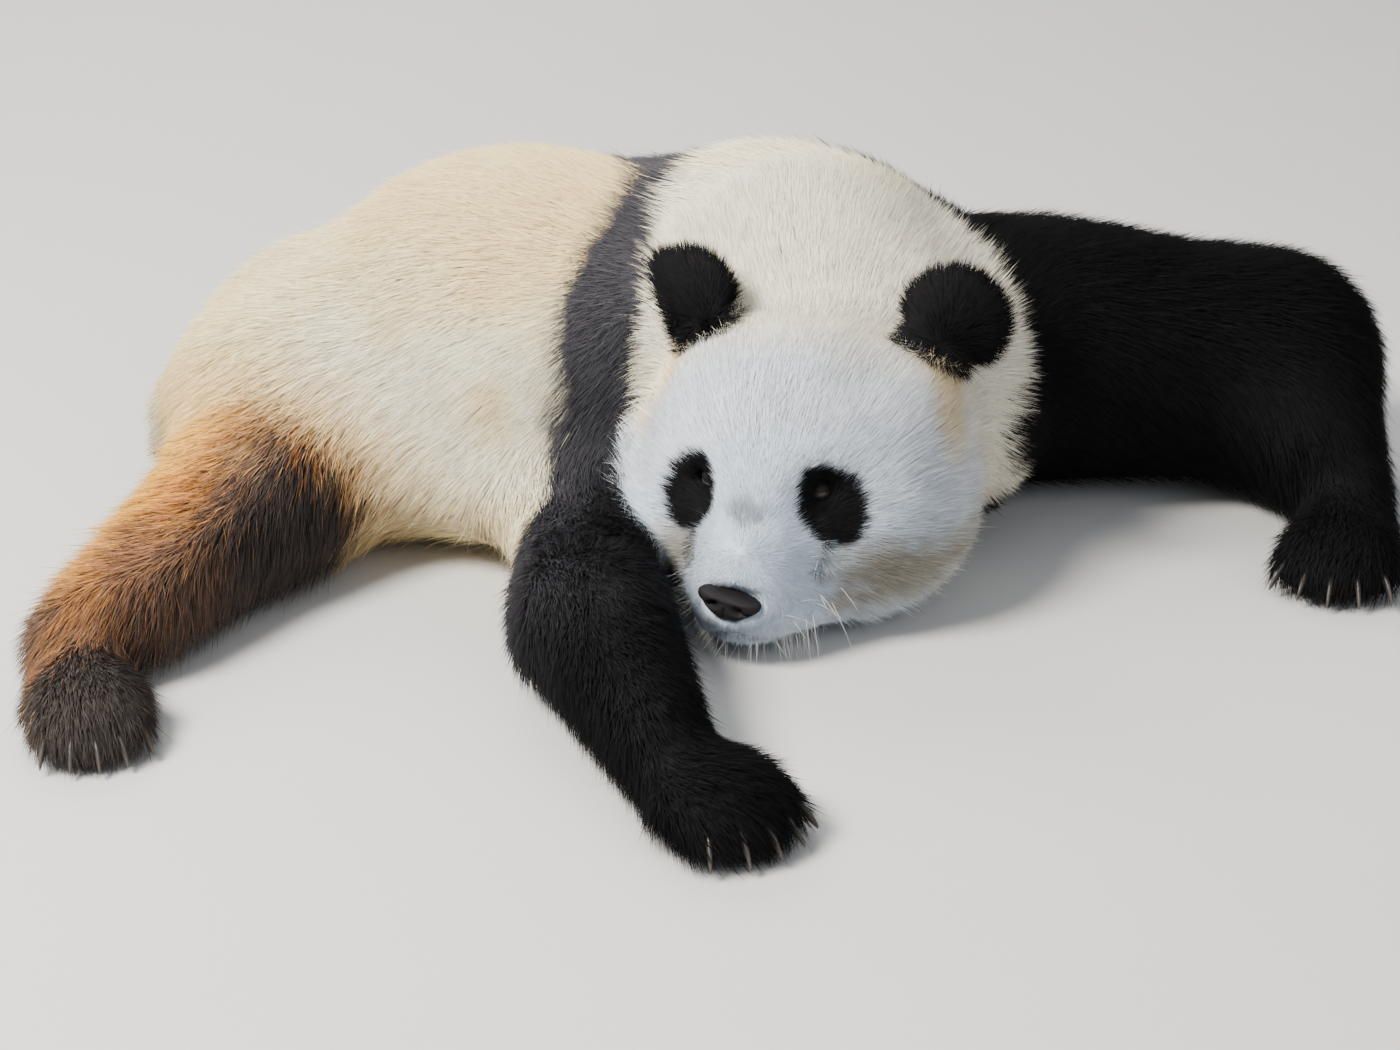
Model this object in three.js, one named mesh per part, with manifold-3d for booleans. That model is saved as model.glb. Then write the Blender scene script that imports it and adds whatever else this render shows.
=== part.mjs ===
// A giant panda lying on its belly with its head turned to its right, life size, fur included.
// Millimetres. +X runs from the tail towards the shoulders, +Y to the animal's left, +Z up, floor at Z = 0.
// Shapes are smooth fields of blobs and limbs, meshed by surface nets and parted with thin cuts.
import * as THREE from "three";
import Module from "manifold-3d";
import { mergeVertices } from "three/addons/utils/BufferGeometryUtils.js";

const wasm = await Module();
wasm.setup();

const at = (x, y, z) => new THREE.Vector3(x, y, z);
const degrees = THREE.MathUtils.degToRad;

// ---- driving dimensions -------------------------------------------------------------------------
const cutWidth = 0.35; // gap between two neighbouring sub-parts
const meshStep = { body: 56, head: 30, ear: 22, paw: 26, nose: 11 }; // spacing of each mesh
const headWidth = 385; // over the fur of the cheeks
const trunkHeight = 400; // floor to the top of the back, lying
const trunkWidth = 525;
const bellyWidth = 560; // the belly spreads where it rests
const earRadius = 60;
const eyeRadius = 12.5;
const clawRadius = 6.5;
const clawLength = 40;

// Where the bones of the lying pose are
const rumpCentre = at(-420, 556, 124);
const loinCentre = at(-205, 572, 192);
const chestCentre = at(88, 610, 196);
const headCentre = at(116, 285, 147);
const headTurn = { yaw: -114, pitch: 2, roll: 4 }; // nose direction in plan, nose down, left ear up
const tailCentre = at(-618, 588, 70);

const forelegs = {
  right: {
    joints: [at(-140, 432, 66), at(-112, 42, 76), at(-34, -205, 58)],
    radii: [88, 88, 62],
    flatness: 0.74, // the head weighs on this arm
    toesTurn: -50,
  },
  left: {
    joints: [at(385, 592, 163), at(658, 600, 138), at(726, 372, 58)],
    radii: [162, 134, 60],
    toesTurn: -108,
  },
};
const hindlegs = {
  right: {
    joints: [at(-445, 460, 130), at(-478, 325, 98), at(-634, 15, 60)],
    radii: [132, 106, 66],
    toesTurn: -74,
  },
  left: {
    joints: [at(-430, 690, 130), at(-350, 845, 98), at(-535, 915, 58)],
    radii: [132, 100, 64],
    toesTurn: 98,
  },
};
const clawsPerPaw = 5;
const smallestPiece = 1e5; // mm³; smaller crumbs of the cuts are left out

// ---- field building -----------------------------------------------------------------------------
// A shape is a function from a point to a distance-like value, negative inside.

function turned({ yaw = 0, pitch = 0, roll = 0 }) {
  const angles = new THREE.Euler(degrees(roll), degrees(pitch), degrees(yaw), "ZYX");
  return new THREE.Quaternion().setFromEuler(angles);
}

// Ellipsoid with its own axes turned by yaw, pitch and roll in degrees
function blob(centre, radii, turn = {}) {
  const back = turned(turn).invert();
  const p = new THREE.Vector3();
  const a = new THREE.Vector3();
  return (x, y, z) => {
    p.set(x - centre.x, y - centre.y, z - centre.z).applyQuaternion(back);
    const outer = a.copy(p).divide(radii).length();
    const inner = a.divide(radii).length();
    return inner > 1e-9 ? (outer * (outer - 1)) / inner : -Math.min(radii.x, radii.y, radii.z);
  };
}

// Straight limb whose radius runs evenly from ra at a to rb at b
function limb(a, b, ra, rb) {
  const d = b.clone().sub(a);
  const length2 = d.lengthSq();
  return (x, y, z) => {
    const px = x - a.x;
    const py = y - a.y;
    const pz = z - a.z;
    const t = Math.min(1, Math.max(0, (px * d.x + py * d.y + pz * d.z) / length2));
    return Math.hypot(px - d.x * t, py - d.y * t, pz - d.z * t) - (ra + (rb - ra) * t);
  };
}

// Two values joined with a fillet of about k
const softly = (a, b, k) => Math.min(a, b) - Math.max(k - Math.abs(a - b), 0) ** 2 / (4 * k);
const joined = (k, shapes) => (x, y, z) => shapes.reduce((d, s) => softly(d, s(x, y, z), k), 1e6);
const carved = (k, shape, hollow) => (x, y, z) => -softly(-shape(x, y, z), hollow(x, y, z), k);
const bothSides = (make) => [make(1), make(-1)];

// A frame places shapes that are described about their own origin
class Frame {
  constructor(origin, turn) {
    this.origin = origin;
    this.turn = turned(turn);
    this.back = this.turn.clone().invert();
  }
  out(p) {
    return p.clone().applyQuaternion(this.turn).add(this.origin);
  }
  placed(shape) {
    const p = new THREE.Vector3();
    return (x, y, z) => {
      p.set(x, y, z).sub(this.origin).applyQuaternion(this.back);
      return shape(p.x, p.y, p.z);
    };
  }
}

// ---- the head, in its own frame: +X to the nose, +Y to the left ear, +Z up ---------------------------
const headFrame = new Frame(headCentre, headTurn);
const eyePlace = (s) => at(108, s * 60, 22);
const eyeAxis = (s) => at(0.88, s * 0.46, 0.1).normalize();
const napeDepth = -118; // the head ends at a flat cut behind the ears
const nosePlace = at(220, 0, -62);

function headField() {
  const side = headWidth / 2;
  const skull = joined(42, [
    blob(at(-30, 0, 22), at(165, 162, 126)), // braincase
    ...bothSides((s) => blob(at(-42, s * 92, 74), at(86, 64, 56))), // mounds that carry the ears
    ...bothSides((s) => blob(at(8, s * (side - 98), -34), at(122, 98, 106))), // cheeks
    ...bothSides((s) => blob(at(80, s * 62, -88), at(80, 58, 46))), // jaws
    blob(at(62, 0, 34), at(88, 104, 78)), // forehead
    limb(at(80, 0, -8), at(186, 0, -70), 66, 43), // bridge of the nose
    blob(at(152, 0, -82), at(80, 67, 46)), // muzzle and chin
  ]);
  const eyeHollows = bothSides((s) => blob(at(156, s * 76, 20), at(36, 32, 32)));
  return eyeHollows.reduce((shape, hollow) => carved(22, shape, hollow), skull);
}

// Round ear, hollowed a little in front
function earField(s) {
  const turn = { yaw: s * 24, pitch: -6 };
  const shell = blob(at(-66, s * 151, 150), at(30, earRadius, earRadius), turn);
  const hollow = blob(at(-24, s * 166, 156), at(26, 34, 36), turn);
  return carved(14, shell, hollow);
}

function noseField() {
  const pad = joined(12, [
    blob(nosePlace, at(17, 38, 17)),
    blob(nosePlace.clone().add(at(2, 0, -9)), at(14, 20, 14)),
  ]);
  const nostrilPlace = (s) => nosePlace.clone().add(at(15, s * 17, -3));
  const nostrils = bothSides((s) => blob(nostrilPlace(s), at(11, 7, 5), { yaw: s * 35 }));
  return nostrils.reduce((shape, hollow) => carved(3, shape, hollow), pad);
}

// ---- trunk, neck, tail and legs ---------------------------------------------------------------------
function torsoField() {
  const half = trunkWidth / 2;
  const spread = bellyWidth / 2;
  const back = trunkHeight - loinCentre.z;
  const trunk = joined(66, [
    blob(rumpCentre, at(194, half * 0.88, 138)),
    blob(loinCentre, at(258, half, back), { pitch: -3 }),
    blob(chestCentre, at(236, 188, 212), { yaw: -10 }),
    blob(at(-215, loinCentre.y, 98), at(290, spread, 114)), // belly, spread on the floor
    blob(at(120, 590, 105), at(260, 215, 118), { yaw: -12 }), // breast
    blob(at(-95, 500, 130), at(118, 122, 128)), // right shoulder
  ]);
  const neck = joined(40, [
    blob(headFrame.out(at(-182, 6, 2)), at(100, 198, 172), { yaw: headTurn.yaw }), // ruff
    limb(headFrame.out(at(-60, 0, 0)), chestCentre.clone().add(at(60, -30, 4)), 118, 168),
  ]);
  return joined(48, [trunk, neck, blob(tailCentre, at(42, 52, 62), { pitch: -8 })]);
}

// The same shape pressed flatter about a height
const pressed = (shape, height, flatness) => (x, y, z) => shape(x, y, height + (z - height) / flatness);

function legField({ joints: [root, middle, end], radii: [ra, rb, rc], flatness = 1 }) {
  return joined(45, [pressed(limb(root, middle, ra, rb), root.z, flatness), limb(middle, end, rb, rc)]);
}

// Trunk, neck and legs, with the back of the head shrunk a little and filleted into the neck
function bodyField() {
  const legs = [...Object.values(forelegs), ...Object.values(hindlegs)].map(legField);
  const limbs = joined(70, [torsoField(), ...legs]);
  const clearance = 7;
  const skull = headField();
  const backOfHead = headFrame.placed((x, y, z) => Math.max(skull(x, y, z) + clearance, x - napeDepth - 60));
  const nape = headFrame.out(at(-130, 0, 30));
  return (x, y, z) => {
    const reach = Math.hypot(x - nape.x, y - nape.y, z - nape.z);
    const k = 6 + 74 * Math.exp(-((reach / 165) ** 2));
    return softly(limbs(x, y, z), backOfHead(x, y, z), k);
  };
}

// ---- paws, in their own frame: origin at the wrist or hock, +X to the toes, +Z up -------------------
const pawKinds = {
  fore: { length: 165, width: 152, height: 84, lift: 40, toeRadius: 25, fan: 17 },
  hind: { length: 178, width: 134, height: 80, lift: 38, toeRadius: 23, fan: 13 },
};

function pawFrame({ joints, toesTurn }) {
  const wrist = joints[2];
  return new Frame(at(wrist.x, wrist.y, 0), { yaw: toesTurn });
}

// Toe n of the paw, from its knuckle to the middle of its tip
function toe(kind, n) {
  const across = n - (clawsPerPaw - 1) / 2;
  const angle = degrees(across * kind.fan);
  const spread = (across * (kind.width - 2 * kind.toeRadius)) / (clawsPerPaw - 1);
  const reach = kind.length - kind.toeRadius - 5 * across * across;
  const knuckle = at(reach - 45, spread * 0.86, kind.lift);
  return { knuckle, tip: at(reach, spread, kind.toeRadius + 3), angle };
}

function pawField(kind) {
  const toes = [...Array(clawsPerPaw).keys()].map((n) => toe(kind, n));
  const palmRadii = at(kind.length * 0.5, kind.width / 2, kind.height / 2);
  const palm = blob(at(kind.length * 0.4, 0, kind.lift), palmRadii);
  const digits = toes.map(({ knuckle, tip }) => limb(knuckle, tip, kind.toeRadius + 3, kind.toeRadius));
  const roots = joined(26, [palm, limb(at(-20, 0, kind.height * 0.68), at(52, 0, kind.lift), 60, 42)]);
  return (x, y, z) => softly(roots(x, y, z), Math.min(...digits.map((d) => d(x, y, z))), 18);
}

// Claw curved down from its root inside the toe, as a cone bent along an arc
function clawGeometry(frame, kind, n) {
  const { tip, angle } = toe(kind, n);
  const cone = new THREE.ConeGeometry(clawRadius, clawLength, 5, 2).rotateZ(-Math.PI / 2);
  const place = cone.attributes.position;
  for (let i = 0; i < place.count; i++) {
    const along = place.getX(i) / clawLength + 0.5;
    place.setZ(i, place.getZ(i) * 1.25 - 15 * along * along);
  }
  const depth = kind.toeRadius * 0.3;
  const root = tip.clone().add(at(depth * Math.cos(angle), depth * Math.sin(angle), 7));
  cone.translate(clawLength / 2, 0, 0).rotateZ(angle).translate(root.x, root.y, root.z);
  return cone.applyQuaternion(frame.turn).translate(frame.origin.x, frame.origin.y, frame.origin.z);
}

// ---- meshing ------------------------------------------------------------------------------------
// Surface nets: one vertex in each grid cell that the surface crosses, one quad across each crossed edge
function polygonize(field, low, high, step) {
  const count = high.clone().sub(low).divideScalar(step).ceil().addScalar(1);
  const [nx, ny, nz] = [count.x, count.y, count.z];
  const values = new Float32Array(nx * ny * nz);
  const gridPoint = (n) => at(n % nx, Math.floor(n / nx) % ny, Math.floor(n / nx / ny));
  const place = (n) => gridPoint(n).multiplyScalar(step).add(low);
  for (let n = 0; n < values.length; n++) {
    const p = place(n);
    values[n] = field(p.x, p.y, p.z);
  }

  const vertices = [];
  const cellVertex = new Map();
  const corners = [0, 1, nx, nx + 1, nx * ny, nx * ny + 1, nx * ny + nx, nx * ny + nx + 1];
  const edges = [
    [0, 1], [2, 3], [4, 5], [6, 7], [0, 2], [1, 3],
    [4, 6], [5, 7], [0, 4], [1, 5], [2, 6], [3, 7],
  ];
  const cells = (visit) => {
    for (let k = 0; k < nz - 1; k++)
      for (let j = 0; j < ny - 1; j++)
        for (let i = 0; i < nx - 1; i++) visit(i + nx * (j + ny * k), Math.min(i, j, k));
  };
  cells((base) => {
    const sum = at(0, 0, 0);
    let crossings = 0;
    for (const [a, b] of edges) {
      const va = values[base + corners[a]];
      const vb = values[base + corners[b]];
      if (va < 0 === vb < 0) continue;
      sum.add(place(base + corners[a]).lerp(place(base + corners[b]), va / (va - vb)));
      crossings++;
    }
    if (!crossings) return;
    cellVertex.set(base, vertices.length);
    vertices.push(onSurface(field, sum.divideScalar(crossings), step));
  });

  const triangles = [];
  const strides = [1, nx, nx * ny];
  cells((base, inwards) => {
    if (inwards < 1) return;
    for (let axis = 0; axis < 3; axis++) {
      const inside = values[base] < 0;
      if (inside === values[base + strides[axis]] < 0) continue;
      const u = strides[(axis + 1) % 3];
      const v = strides[(axis + 2) % 3];
      const quad = [base - u - v, base - v, base, base - u].map((c) => cellVertex.get(c));
      if (!inside) quad.reverse();
      const [a, b, c, d] = quad;
      const shortAC = vertices[a].distanceTo(vertices[c]) < vertices[b].distanceTo(vertices[d]);
      triangles.push(...(shortAC ? [a, b, c, a, c, d] : [a, b, d, b, c, d]));
    }
  });
  return { vertices, triangles };
}

// Moves a point along the field's slope until it lies on the surface
function onSurface(field, p, step) {
  const e = 0.5;
  for (let n = 0; n < 4; n++) {
    const slope = at(
      field(p.x + e, p.y, p.z) - field(p.x - e, p.y, p.z),
      field(p.x, p.y + e, p.z) - field(p.x, p.y - e, p.z),
      field(p.x, p.y, p.z + e) - field(p.x, p.y, p.z - e),
    ).divideScalar(2 * e);
    const move = field(p.x, p.y, p.z) / Math.max(slope.lengthSq(), 0.2);
    p.addScaledVector(slope, -THREE.MathUtils.clamp(move, -step / 5, step / 5));
  }
  return p;
}

// ---- solids -------------------------------------------------------------------------------------
function solidOf({ vertices, triangles }) {
  const vertProperties = new Float32Array(vertices.flatMap((p) => [p.x, p.y, p.z]));
  const triVerts = new Uint32Array(triangles);
  return new wasm.Manifold(new wasm.Mesh({ numProp: 3, vertProperties, triVerts }));
}

function netOf(geometry) {
  const bare = geometry.clone();
  bare.deleteAttribute("normal");
  bare.deleteAttribute("uv");
  const merged = mergeVertices(bare, 1e-3);
  const place = merged.attributes.position;
  const vertex = (_, i) => new THREE.Vector3().fromBufferAttribute(place, i);
  return { vertices: Array.from({ length: place.count }, vertex), triangles: [...merged.index.array] };
}

// The same net with every vertex moved out along its normal
function grown({ vertices, triangles }, distance) {
  const normals = vertices.map(() => at(0, 0, 0));
  for (let i = 0; i < triangles.length; i += 3) {
    const corners = triangles.slice(i, i + 3);
    const [a, b, c] = corners.map((n) => vertices[n]);
    const normal = b.clone().sub(a).cross(c.clone().sub(a));
    corners.forEach((n) => normals[n].add(normal));
  }
  const moved = vertices.map((p, n) => p.clone().addScaledVector(normals[n].normalize(), distance));
  return { vertices: moved, triangles };
}

const carried = (frame, { vertices, triangles }) => ({
  vertices: vertices.map((p) => frame.out(p)),
  triangles,
});

function geometryOf(solid, offset) {
  const mesh = solid.getMesh();
  const geometry = new THREE.BufferGeometry()
    .setAttribute("position", new THREE.BufferAttribute(mesh.vertProperties, 3))
    .setIndex(new THREE.BufferAttribute(mesh.triVerts, 1));
  return geometry.translate(offset.x, offset.y, offset.z);
}

const boxSolid = (size, centre, turn = new THREE.Quaternion()) => {
  const box = new THREE.BoxGeometry(size.x, size.y, size.z).applyQuaternion(turn);
  return solidOf(netOf(box.translate(centre.x, centre.y, centre.z)));
};

const floor = boxSolid(at(4000, 4000, 1000), at(0, 0, -500));

// Thin slab through centre, square to the direction that yaw and pitch give
function slab(centre, { yaw = 0, pitch = 0 }, across, high = 900) {
  return boxSolid(at(cutWidth, across, high), centre, turned({ yaw, pitch }));
}

// Slab square to the bend of a leg at its middle joint
function slabAtBend({ joints: [root, middle, end] }, across) {
  const along = middle.clone().sub(root).normalize().add(end.clone().sub(middle).normalize()).normalize();
  const turn = new THREE.Quaternion().setFromUnitVectors(at(1, 0, 0), along);
  return boxSolid(at(cutWidth, across, across), middle, turn);
}

// ---- making the pieces --------------------------------------------------------------------------
const bodyNet = polygonize(bodyField(), at(-850, -420, -150), at(950, 1180, 520), meshStep.body);
const netInHead = (field, low, high, step) => carried(headFrame, polygonize(field, low, high, step));
const headNet = netInHead(headField(), at(-270, -270, -210), at(330, 270, 240), meshStep.head);
const noseNet = netInHead(noseField(), at(180, -60, -110), at(260, 60, -20), meshStep.nose);
const headBox = (x) => boxSolid(at(420, 560, 560), headFrame.out(at(x + 210, 0, 0)), headFrame.turn);
const headRoom = solidOf(grown(headNet, cutWidth)).intersect(headBox(napeDepth));

const solids = {};

function make(name, solid) {
  solids[name] = solid.subtract(floor);
}

// Eyes in round sockets that open outwards, and the ears
let body = solidOf(bodyNet).subtract(headRoom);
let head = solidOf(headNet).intersect(headBox(napeDepth + cutWidth));
for (const [side, s] of [["left", 1], ["right", -1]]) {
  const centre = headFrame.out(eyePlace(s));
  const outward = eyeAxis(s).applyQuaternion(headFrame.turn);
  const ball = (radius) => new THREE.SphereGeometry(radius, 10, 6).translate(centre.x, centre.y, centre.z);
  const lids = new THREE.CylinderGeometry(eyeRadius * 1.6, eyeRadius, eyeRadius * 1.8, 10);
  lids.translate(0, eyeRadius, 0);
  lids.applyQuaternion(new THREE.Quaternion().setFromUnitVectors(at(0, 1, 0), outward));
  lids.translate(centre.x, centre.y, centre.z);
  make(`eye_${side}`, solidOf(netOf(ball(eyeRadius))));
  head = head.subtract(solidOf(netOf(ball(eyeRadius + cutWidth)))).subtract(solidOf(netOf(lids)));

  const low = at(-130, s > 0 ? 60 : -230, 60);
  const high = at(0, s > 0 ? 230 : -60, 230);
  const ear = netInHead(earField(s), low, high, meshStep.ear);
  make(`ear_${side}`, solidOf(ear).subtract(headRoom));
  body = body.subtract(solidOf(grown(ear, cutWidth)));
}
make("nose", solidOf(noseNet));
make("head", head.subtract(solidOf(grown(noseNet, cutWidth))));

// Paws with their claws
const legs = [
  ["fore_right", forelegs.right, pawKinds.fore],
  ["fore_left", forelegs.left, pawKinds.fore],
  ["hind_right", hindlegs.right, pawKinds.hind],
  ["hind_left", hindlegs.left, pawKinds.hind],
];
for (const [legName, leg, kind] of legs) {
  const frame = pawFrame(leg);
  const flat = polygonize(pawField(kind), at(-130, -120, -60), at(230, 130, 160), meshStep.paw);
  const net = carried(frame, flat);
  const beyondWrist = (x) => boxSolid(at(260, 260, 320), frame.out(at(x + 130, 0, 0)), frame.turn);
  const pawRoom = solidOf(grown(net, cutWidth));
  for (let n = 0; n < clawsPerPaw; n++) {
    make(`claw_${legName}_${n + 1}`, solidOf(netOf(clawGeometry(frame, kind, n))).subtract(pawRoom));
  }
  make(`paw_${legName}`, solidOf(net).intersect(beyondWrist(cutWidth)));
  body = body.subtract(beyondWrist(0));
}

// Cuts that part the body, each square to its yaw
const cuts = [
  slab(at(-110, 675, 200), { pitch: 14 }, 460), // trunk and shoulders
  slab(at(190, 585, 200), { yaw: 90 }, 420), // shoulders and neck
  slab(at(-20, 417, 200), {}, 336), // neck from shoulders and right arm
  slab(at(-130, 445, 200), { yaw: 90 }, 222), // shoulders and right arm
  slab(at(-240, 323, 200), {}, 248), // belly and right arm
  slab(at(348, 590, 200), { yaw: 13 }, 580), // shoulders and left arm
  slab(at(-500, 400, 200), { yaw: 90 }, 290), // rump and right thigh
  slab(at(-356, 316, 200), {}, 172), // belly and right thigh
  slab(at(-440, 745, 200), { yaw: 90 }, 366), // rump and left thigh
  slab(at(-258, 850, 200), {}, 214), // belly and left thigh
  slab(at(-616, 588, 60), {}, 160, 240), // rump and tail
  slabAtBend(forelegs.right, 250),
  slabAtBend(forelegs.left, 380),
  slabAtBend(hindlegs.right, 260),
  slabAtBend(hindlegs.left, 400),
];
for (const cut of cuts) body = body.subtract(cut);
const middleOf = (a, b) => a.clone().lerp(b, 0.5);
const labels = {
  trunk: at(-350, 600, 190),
  shoulders: at(60, 680, 200),
  neck: at(180, 440, 180),
  tail: at(-640, 588, 80),
};
for (const [legName, { joints }] of legs) {
  const upper = legName.startsWith("fore") ? "upper_arm" : "thigh";
  const lower = legName.startsWith("fore") ? "forearm" : "shank";
  labels[legName.replace(/.*_/, upper + "_")] = middleOf(joints[0], joints[1]);
  labels[legName.replace(/.*_/, lower + "_")] = middleOf(joints[1], joints[2]);
}
for (const piece of body.subtract(floor).decompose()) {
  if (piece.volume() < smallestPiece) continue;
  const { min, max } = piece.boundingBox();
  const middle = middleOf(at(...min), at(...max));
  const distance = (name) => labels[name].distanceTo(middle);
  const name = Object.keys(labels).reduce((best, other) => (distance(other) < distance(best) ? other : best));
  if (solids[name]) throw new Error(`two pieces are nearest to ${name}`);
  solids[name] = piece;
}

// ---- colours and the finished group -----------------------------------------------------------------
const white = 0xe6e2d9;
const cream = 0xd8cbb2;
const black = 0x262321;
const finishes = [
  [/^head/, white, 0.9],
  [/^neck/, cream, 0.95],
  [/^(trunk|tail)/, cream, 0.95],
  [/^thigh_right/, 0xb0895a, 0.95], // warm tan where the thigh meets the rump
  [/^shank_right/, 0x7a5230, 0.95], // rust brown leg
  [/^thigh_left/, cream, 0.95],
  [/^(shoulders|upper_arm|forearm|shank|ear|paw)/, black, 0.95],
  [/^nose/, 0x17161a, 0.45],
  [/^eye/, 0x120c09, 0.12],
  [/^claw/, 0x6f6458, 0.4],
];

// The origin lies on the floor below the middle of the whole
const whole = new THREE.Box3();
for (const solid of Object.values(solids)) {
  const { min, max } = solid.boundingBox();
  whole.expandByPoint(at(...min)).expandByPoint(at(...max));
}
const toOrigin = at(-(whole.min.x + whole.max.x) / 2, -(whole.min.y + whole.max.y) / 2, 0);

const panda = new THREE.Group();
panda.name = "panda";
for (const [name, solid] of Object.entries(solids)) {
  const [, color, roughness] = finishes.find(([names]) => names.test(name));
  const material = new THREE.MeshStandardMaterial({ color, roughness, metalness: 0 });
  const mesh = new THREE.Mesh(geometryOf(solid, toOrigin), material);
  mesh.name = name;
  panda.add(mesh);
}

export default panda;
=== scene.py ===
import math

import bmesh
import bpy
import numpy as np
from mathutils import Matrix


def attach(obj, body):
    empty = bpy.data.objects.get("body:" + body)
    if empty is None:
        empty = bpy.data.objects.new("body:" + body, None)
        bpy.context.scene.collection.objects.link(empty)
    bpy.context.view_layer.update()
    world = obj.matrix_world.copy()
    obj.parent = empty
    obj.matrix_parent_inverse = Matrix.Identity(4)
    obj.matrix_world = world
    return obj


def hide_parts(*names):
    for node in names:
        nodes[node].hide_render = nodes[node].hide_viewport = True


# A giant panda lying on its belly: a skin, a coat of fine tufts, eyes, nose, claws and whiskers.
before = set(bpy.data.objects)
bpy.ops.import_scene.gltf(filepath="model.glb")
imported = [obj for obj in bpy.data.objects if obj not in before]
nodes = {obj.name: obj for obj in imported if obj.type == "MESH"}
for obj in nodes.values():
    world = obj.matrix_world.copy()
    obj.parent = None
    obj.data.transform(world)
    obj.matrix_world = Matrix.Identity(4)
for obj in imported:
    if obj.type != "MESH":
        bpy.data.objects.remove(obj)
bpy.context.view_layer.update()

# where the animal lies, in mm before the frame's own shift
pose = {
    "shift": (-50.52, -368.995, 0.0),
    "headCentre": (116.0, 285.0, 147.0),
    "headTurn": (-114.0, 2.0, 4.0),
    "eye": (108.0, 60.0, 22.0),
    "nose": (220.0, 0.0, -62.0),
    "noseTip": (205.0, 0.0, -62.0),
    "ear": (-66.0, 151.0, 150.0),
    "earRadii": (30.0, 60.0, 60.0),
    "earTurn": (24.0, -6.0),
    "earSquash": 1.22,
    "neck": ((165.0, 440.0, 215.0), (260.0, 230.0, 240.0)),
    "tail": ((-618.0, 588.0, 70.0), (42.0, 52.0, 62.0)),
}

# egg shapes that make the head, in its own axes: centre and radii
headEggs = [
    ((-30, 0, 22), (165, 162, 126)),
    ((62, 0, 34), (88, 104, 78)),
    ((152, 0, -82), (80, 67, 46)),
    ((130, 0, -38), (92, 58, 58)),
]
for side in (1, -1):
    headEggs += [
        ((8, side * 94.5, -34), (122, 98, 106)),
        ((-42, side * 92, 74), (86, 64, 56)),
        ((80, side * 62, -88), (80, 58, 46)),
    ]

# bones that the coat follows, root to tip, with the radius of the flesh round each stretch
bones = {
    "spine": {"joints": [(88, 610, 196), (-205, 572, 192), (-420, 556, 124), (-640, 590, 90)],
              "radii": [190, 190, 170]},
    "armRight": {"joints": [(-140, 432, 66), (-112, 42, 76), (-34, -205, 58), (72, -331, 30)],
                 "radii": [84, 72, 60]},
    "armLeft": {"joints": [(385, 592, 163), (658, 600, 138), (726, 372, 58), (675, 215, 30)],
                "radii": [140, 96, 60]},
    "legRight": {"joints": [(-445, 460, 130), (-478, 325, 98), (-634, 15, 60), (-585, -156, 30)],
                 "radii": [118, 84, 60]},
    "legLeft": {"joints": [(-430, 690, 130), (-350, 845, 98), (-535, 915, 58), (-560, 1091, 30)],
                "radii": [114, 80, 60]},
}
limbs = ("armRight", "armLeft", "legRight", "legLeft")


def unit(v):
    # each row divided by its own length
    return v / np.maximum(np.linalg.norm(v, axis=-1, keepdims=True), 1e-9)


def lengthOf(v):
    # the length of each row
    return np.linalg.norm(v, axis=-1)


def dot(a, b):
    # row by row product, summed
    return np.einsum("ij,ij->i", a, b)


def ease(x, low, high):
    # 0 below low, 1 above high, smooth between, or the other way round
    t = np.clip((x - low) / (high - low), 0, 1)
    return t * t * (3 - 2 * t)


def mix(a, b, share):
    # a where share is 0, b where it is 1
    share = np.asarray(share)[..., None]
    return np.asarray(a) * (1 - share) + np.asarray(b) * share


def lattice(ijk, seed):
    # a fixed random number from 0 to 1 for each whole-number corner
    h = ijk[..., 0] * 374761393 + ijk[..., 1] * 668265263 + ijk[..., 2] * 2147483647 + seed * 974711
    h = h & 0xFFFFFFFF
    h = ((h ^ (h >> 13)) * 1274126177) & 0xFFFFFFFF
    return ((h ^ (h >> 16)) & 0xFFFFFF) / 0xFFFFFF


def noise(p, size, seed=0):
    # smooth values from -1 to 1, changing over about size: a grid's corner values with eased weights
    g = p / size + 1000.5
    i = np.floor(g).astype(np.int64)
    f = g - i
    f = f * f * (3 - 2 * f)
    total = np.zeros(len(p))
    for corner in range(8):
        step = np.array([corner & 1, (corner >> 1) & 1, corner >> 2])
        weight = np.prod(np.where(step == 1, f, 1 - f), axis=1)
        total += weight * lattice(i + step, seed)
    return total * 2 - 1


def turnOf(yaw, pitch, roll):
    # turn about Z, then the new Y, then the new X
    turn = np.eye(3)
    for angle, i, j in ((yaw, 0, 1), (pitch, 2, 0), (roll, 1, 2)):
        c, s = math.cos(math.radians(angle)), math.sin(math.radians(angle))
        about = np.eye(3)
        about[[i, j, i, j], [i, j, j, i]] = c, c, -s, s
        turn = turn @ about
    return turn


def mirrored(place, side):
    # the place on the left for side 1, on the right for side -1
    return np.array(place) * (1, side, 1)


headTurn = turnOf(*pose["headTurn"])
headCentre = np.array(pose["headCentre"])
shift = np.array(pose["shift"])


def toPose(p):
    # frame metres to pose millimetres
    return p * 1000 - shift


def fromPose(q):
    # pose millimetres to frame metres
    return (q + shift) / 1000


def toHead(q):
    # pose to the head's axes: nose along X, left ear along Y, crown along Z
    return (q - headCentre) @ headTurn


def fromHead(h):
    # the head's axes to the pose
    return np.asarray(h, float) @ headTurn.T + headCentre


def newObject(name, points, faces, material):
    # an object at the origin from arrays of points and of each face's corners
    mesh = bpy.data.meshes.new(name)
    mesh.from_pydata(points.tolist(), [], faces.tolist(), shade_flat=False)
    piece = bpy.data.objects.new(name, mesh)
    bpy.context.scene.collection.objects.link(piece)
    if material:
        mesh.materials.append(material)
    return piece


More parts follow.
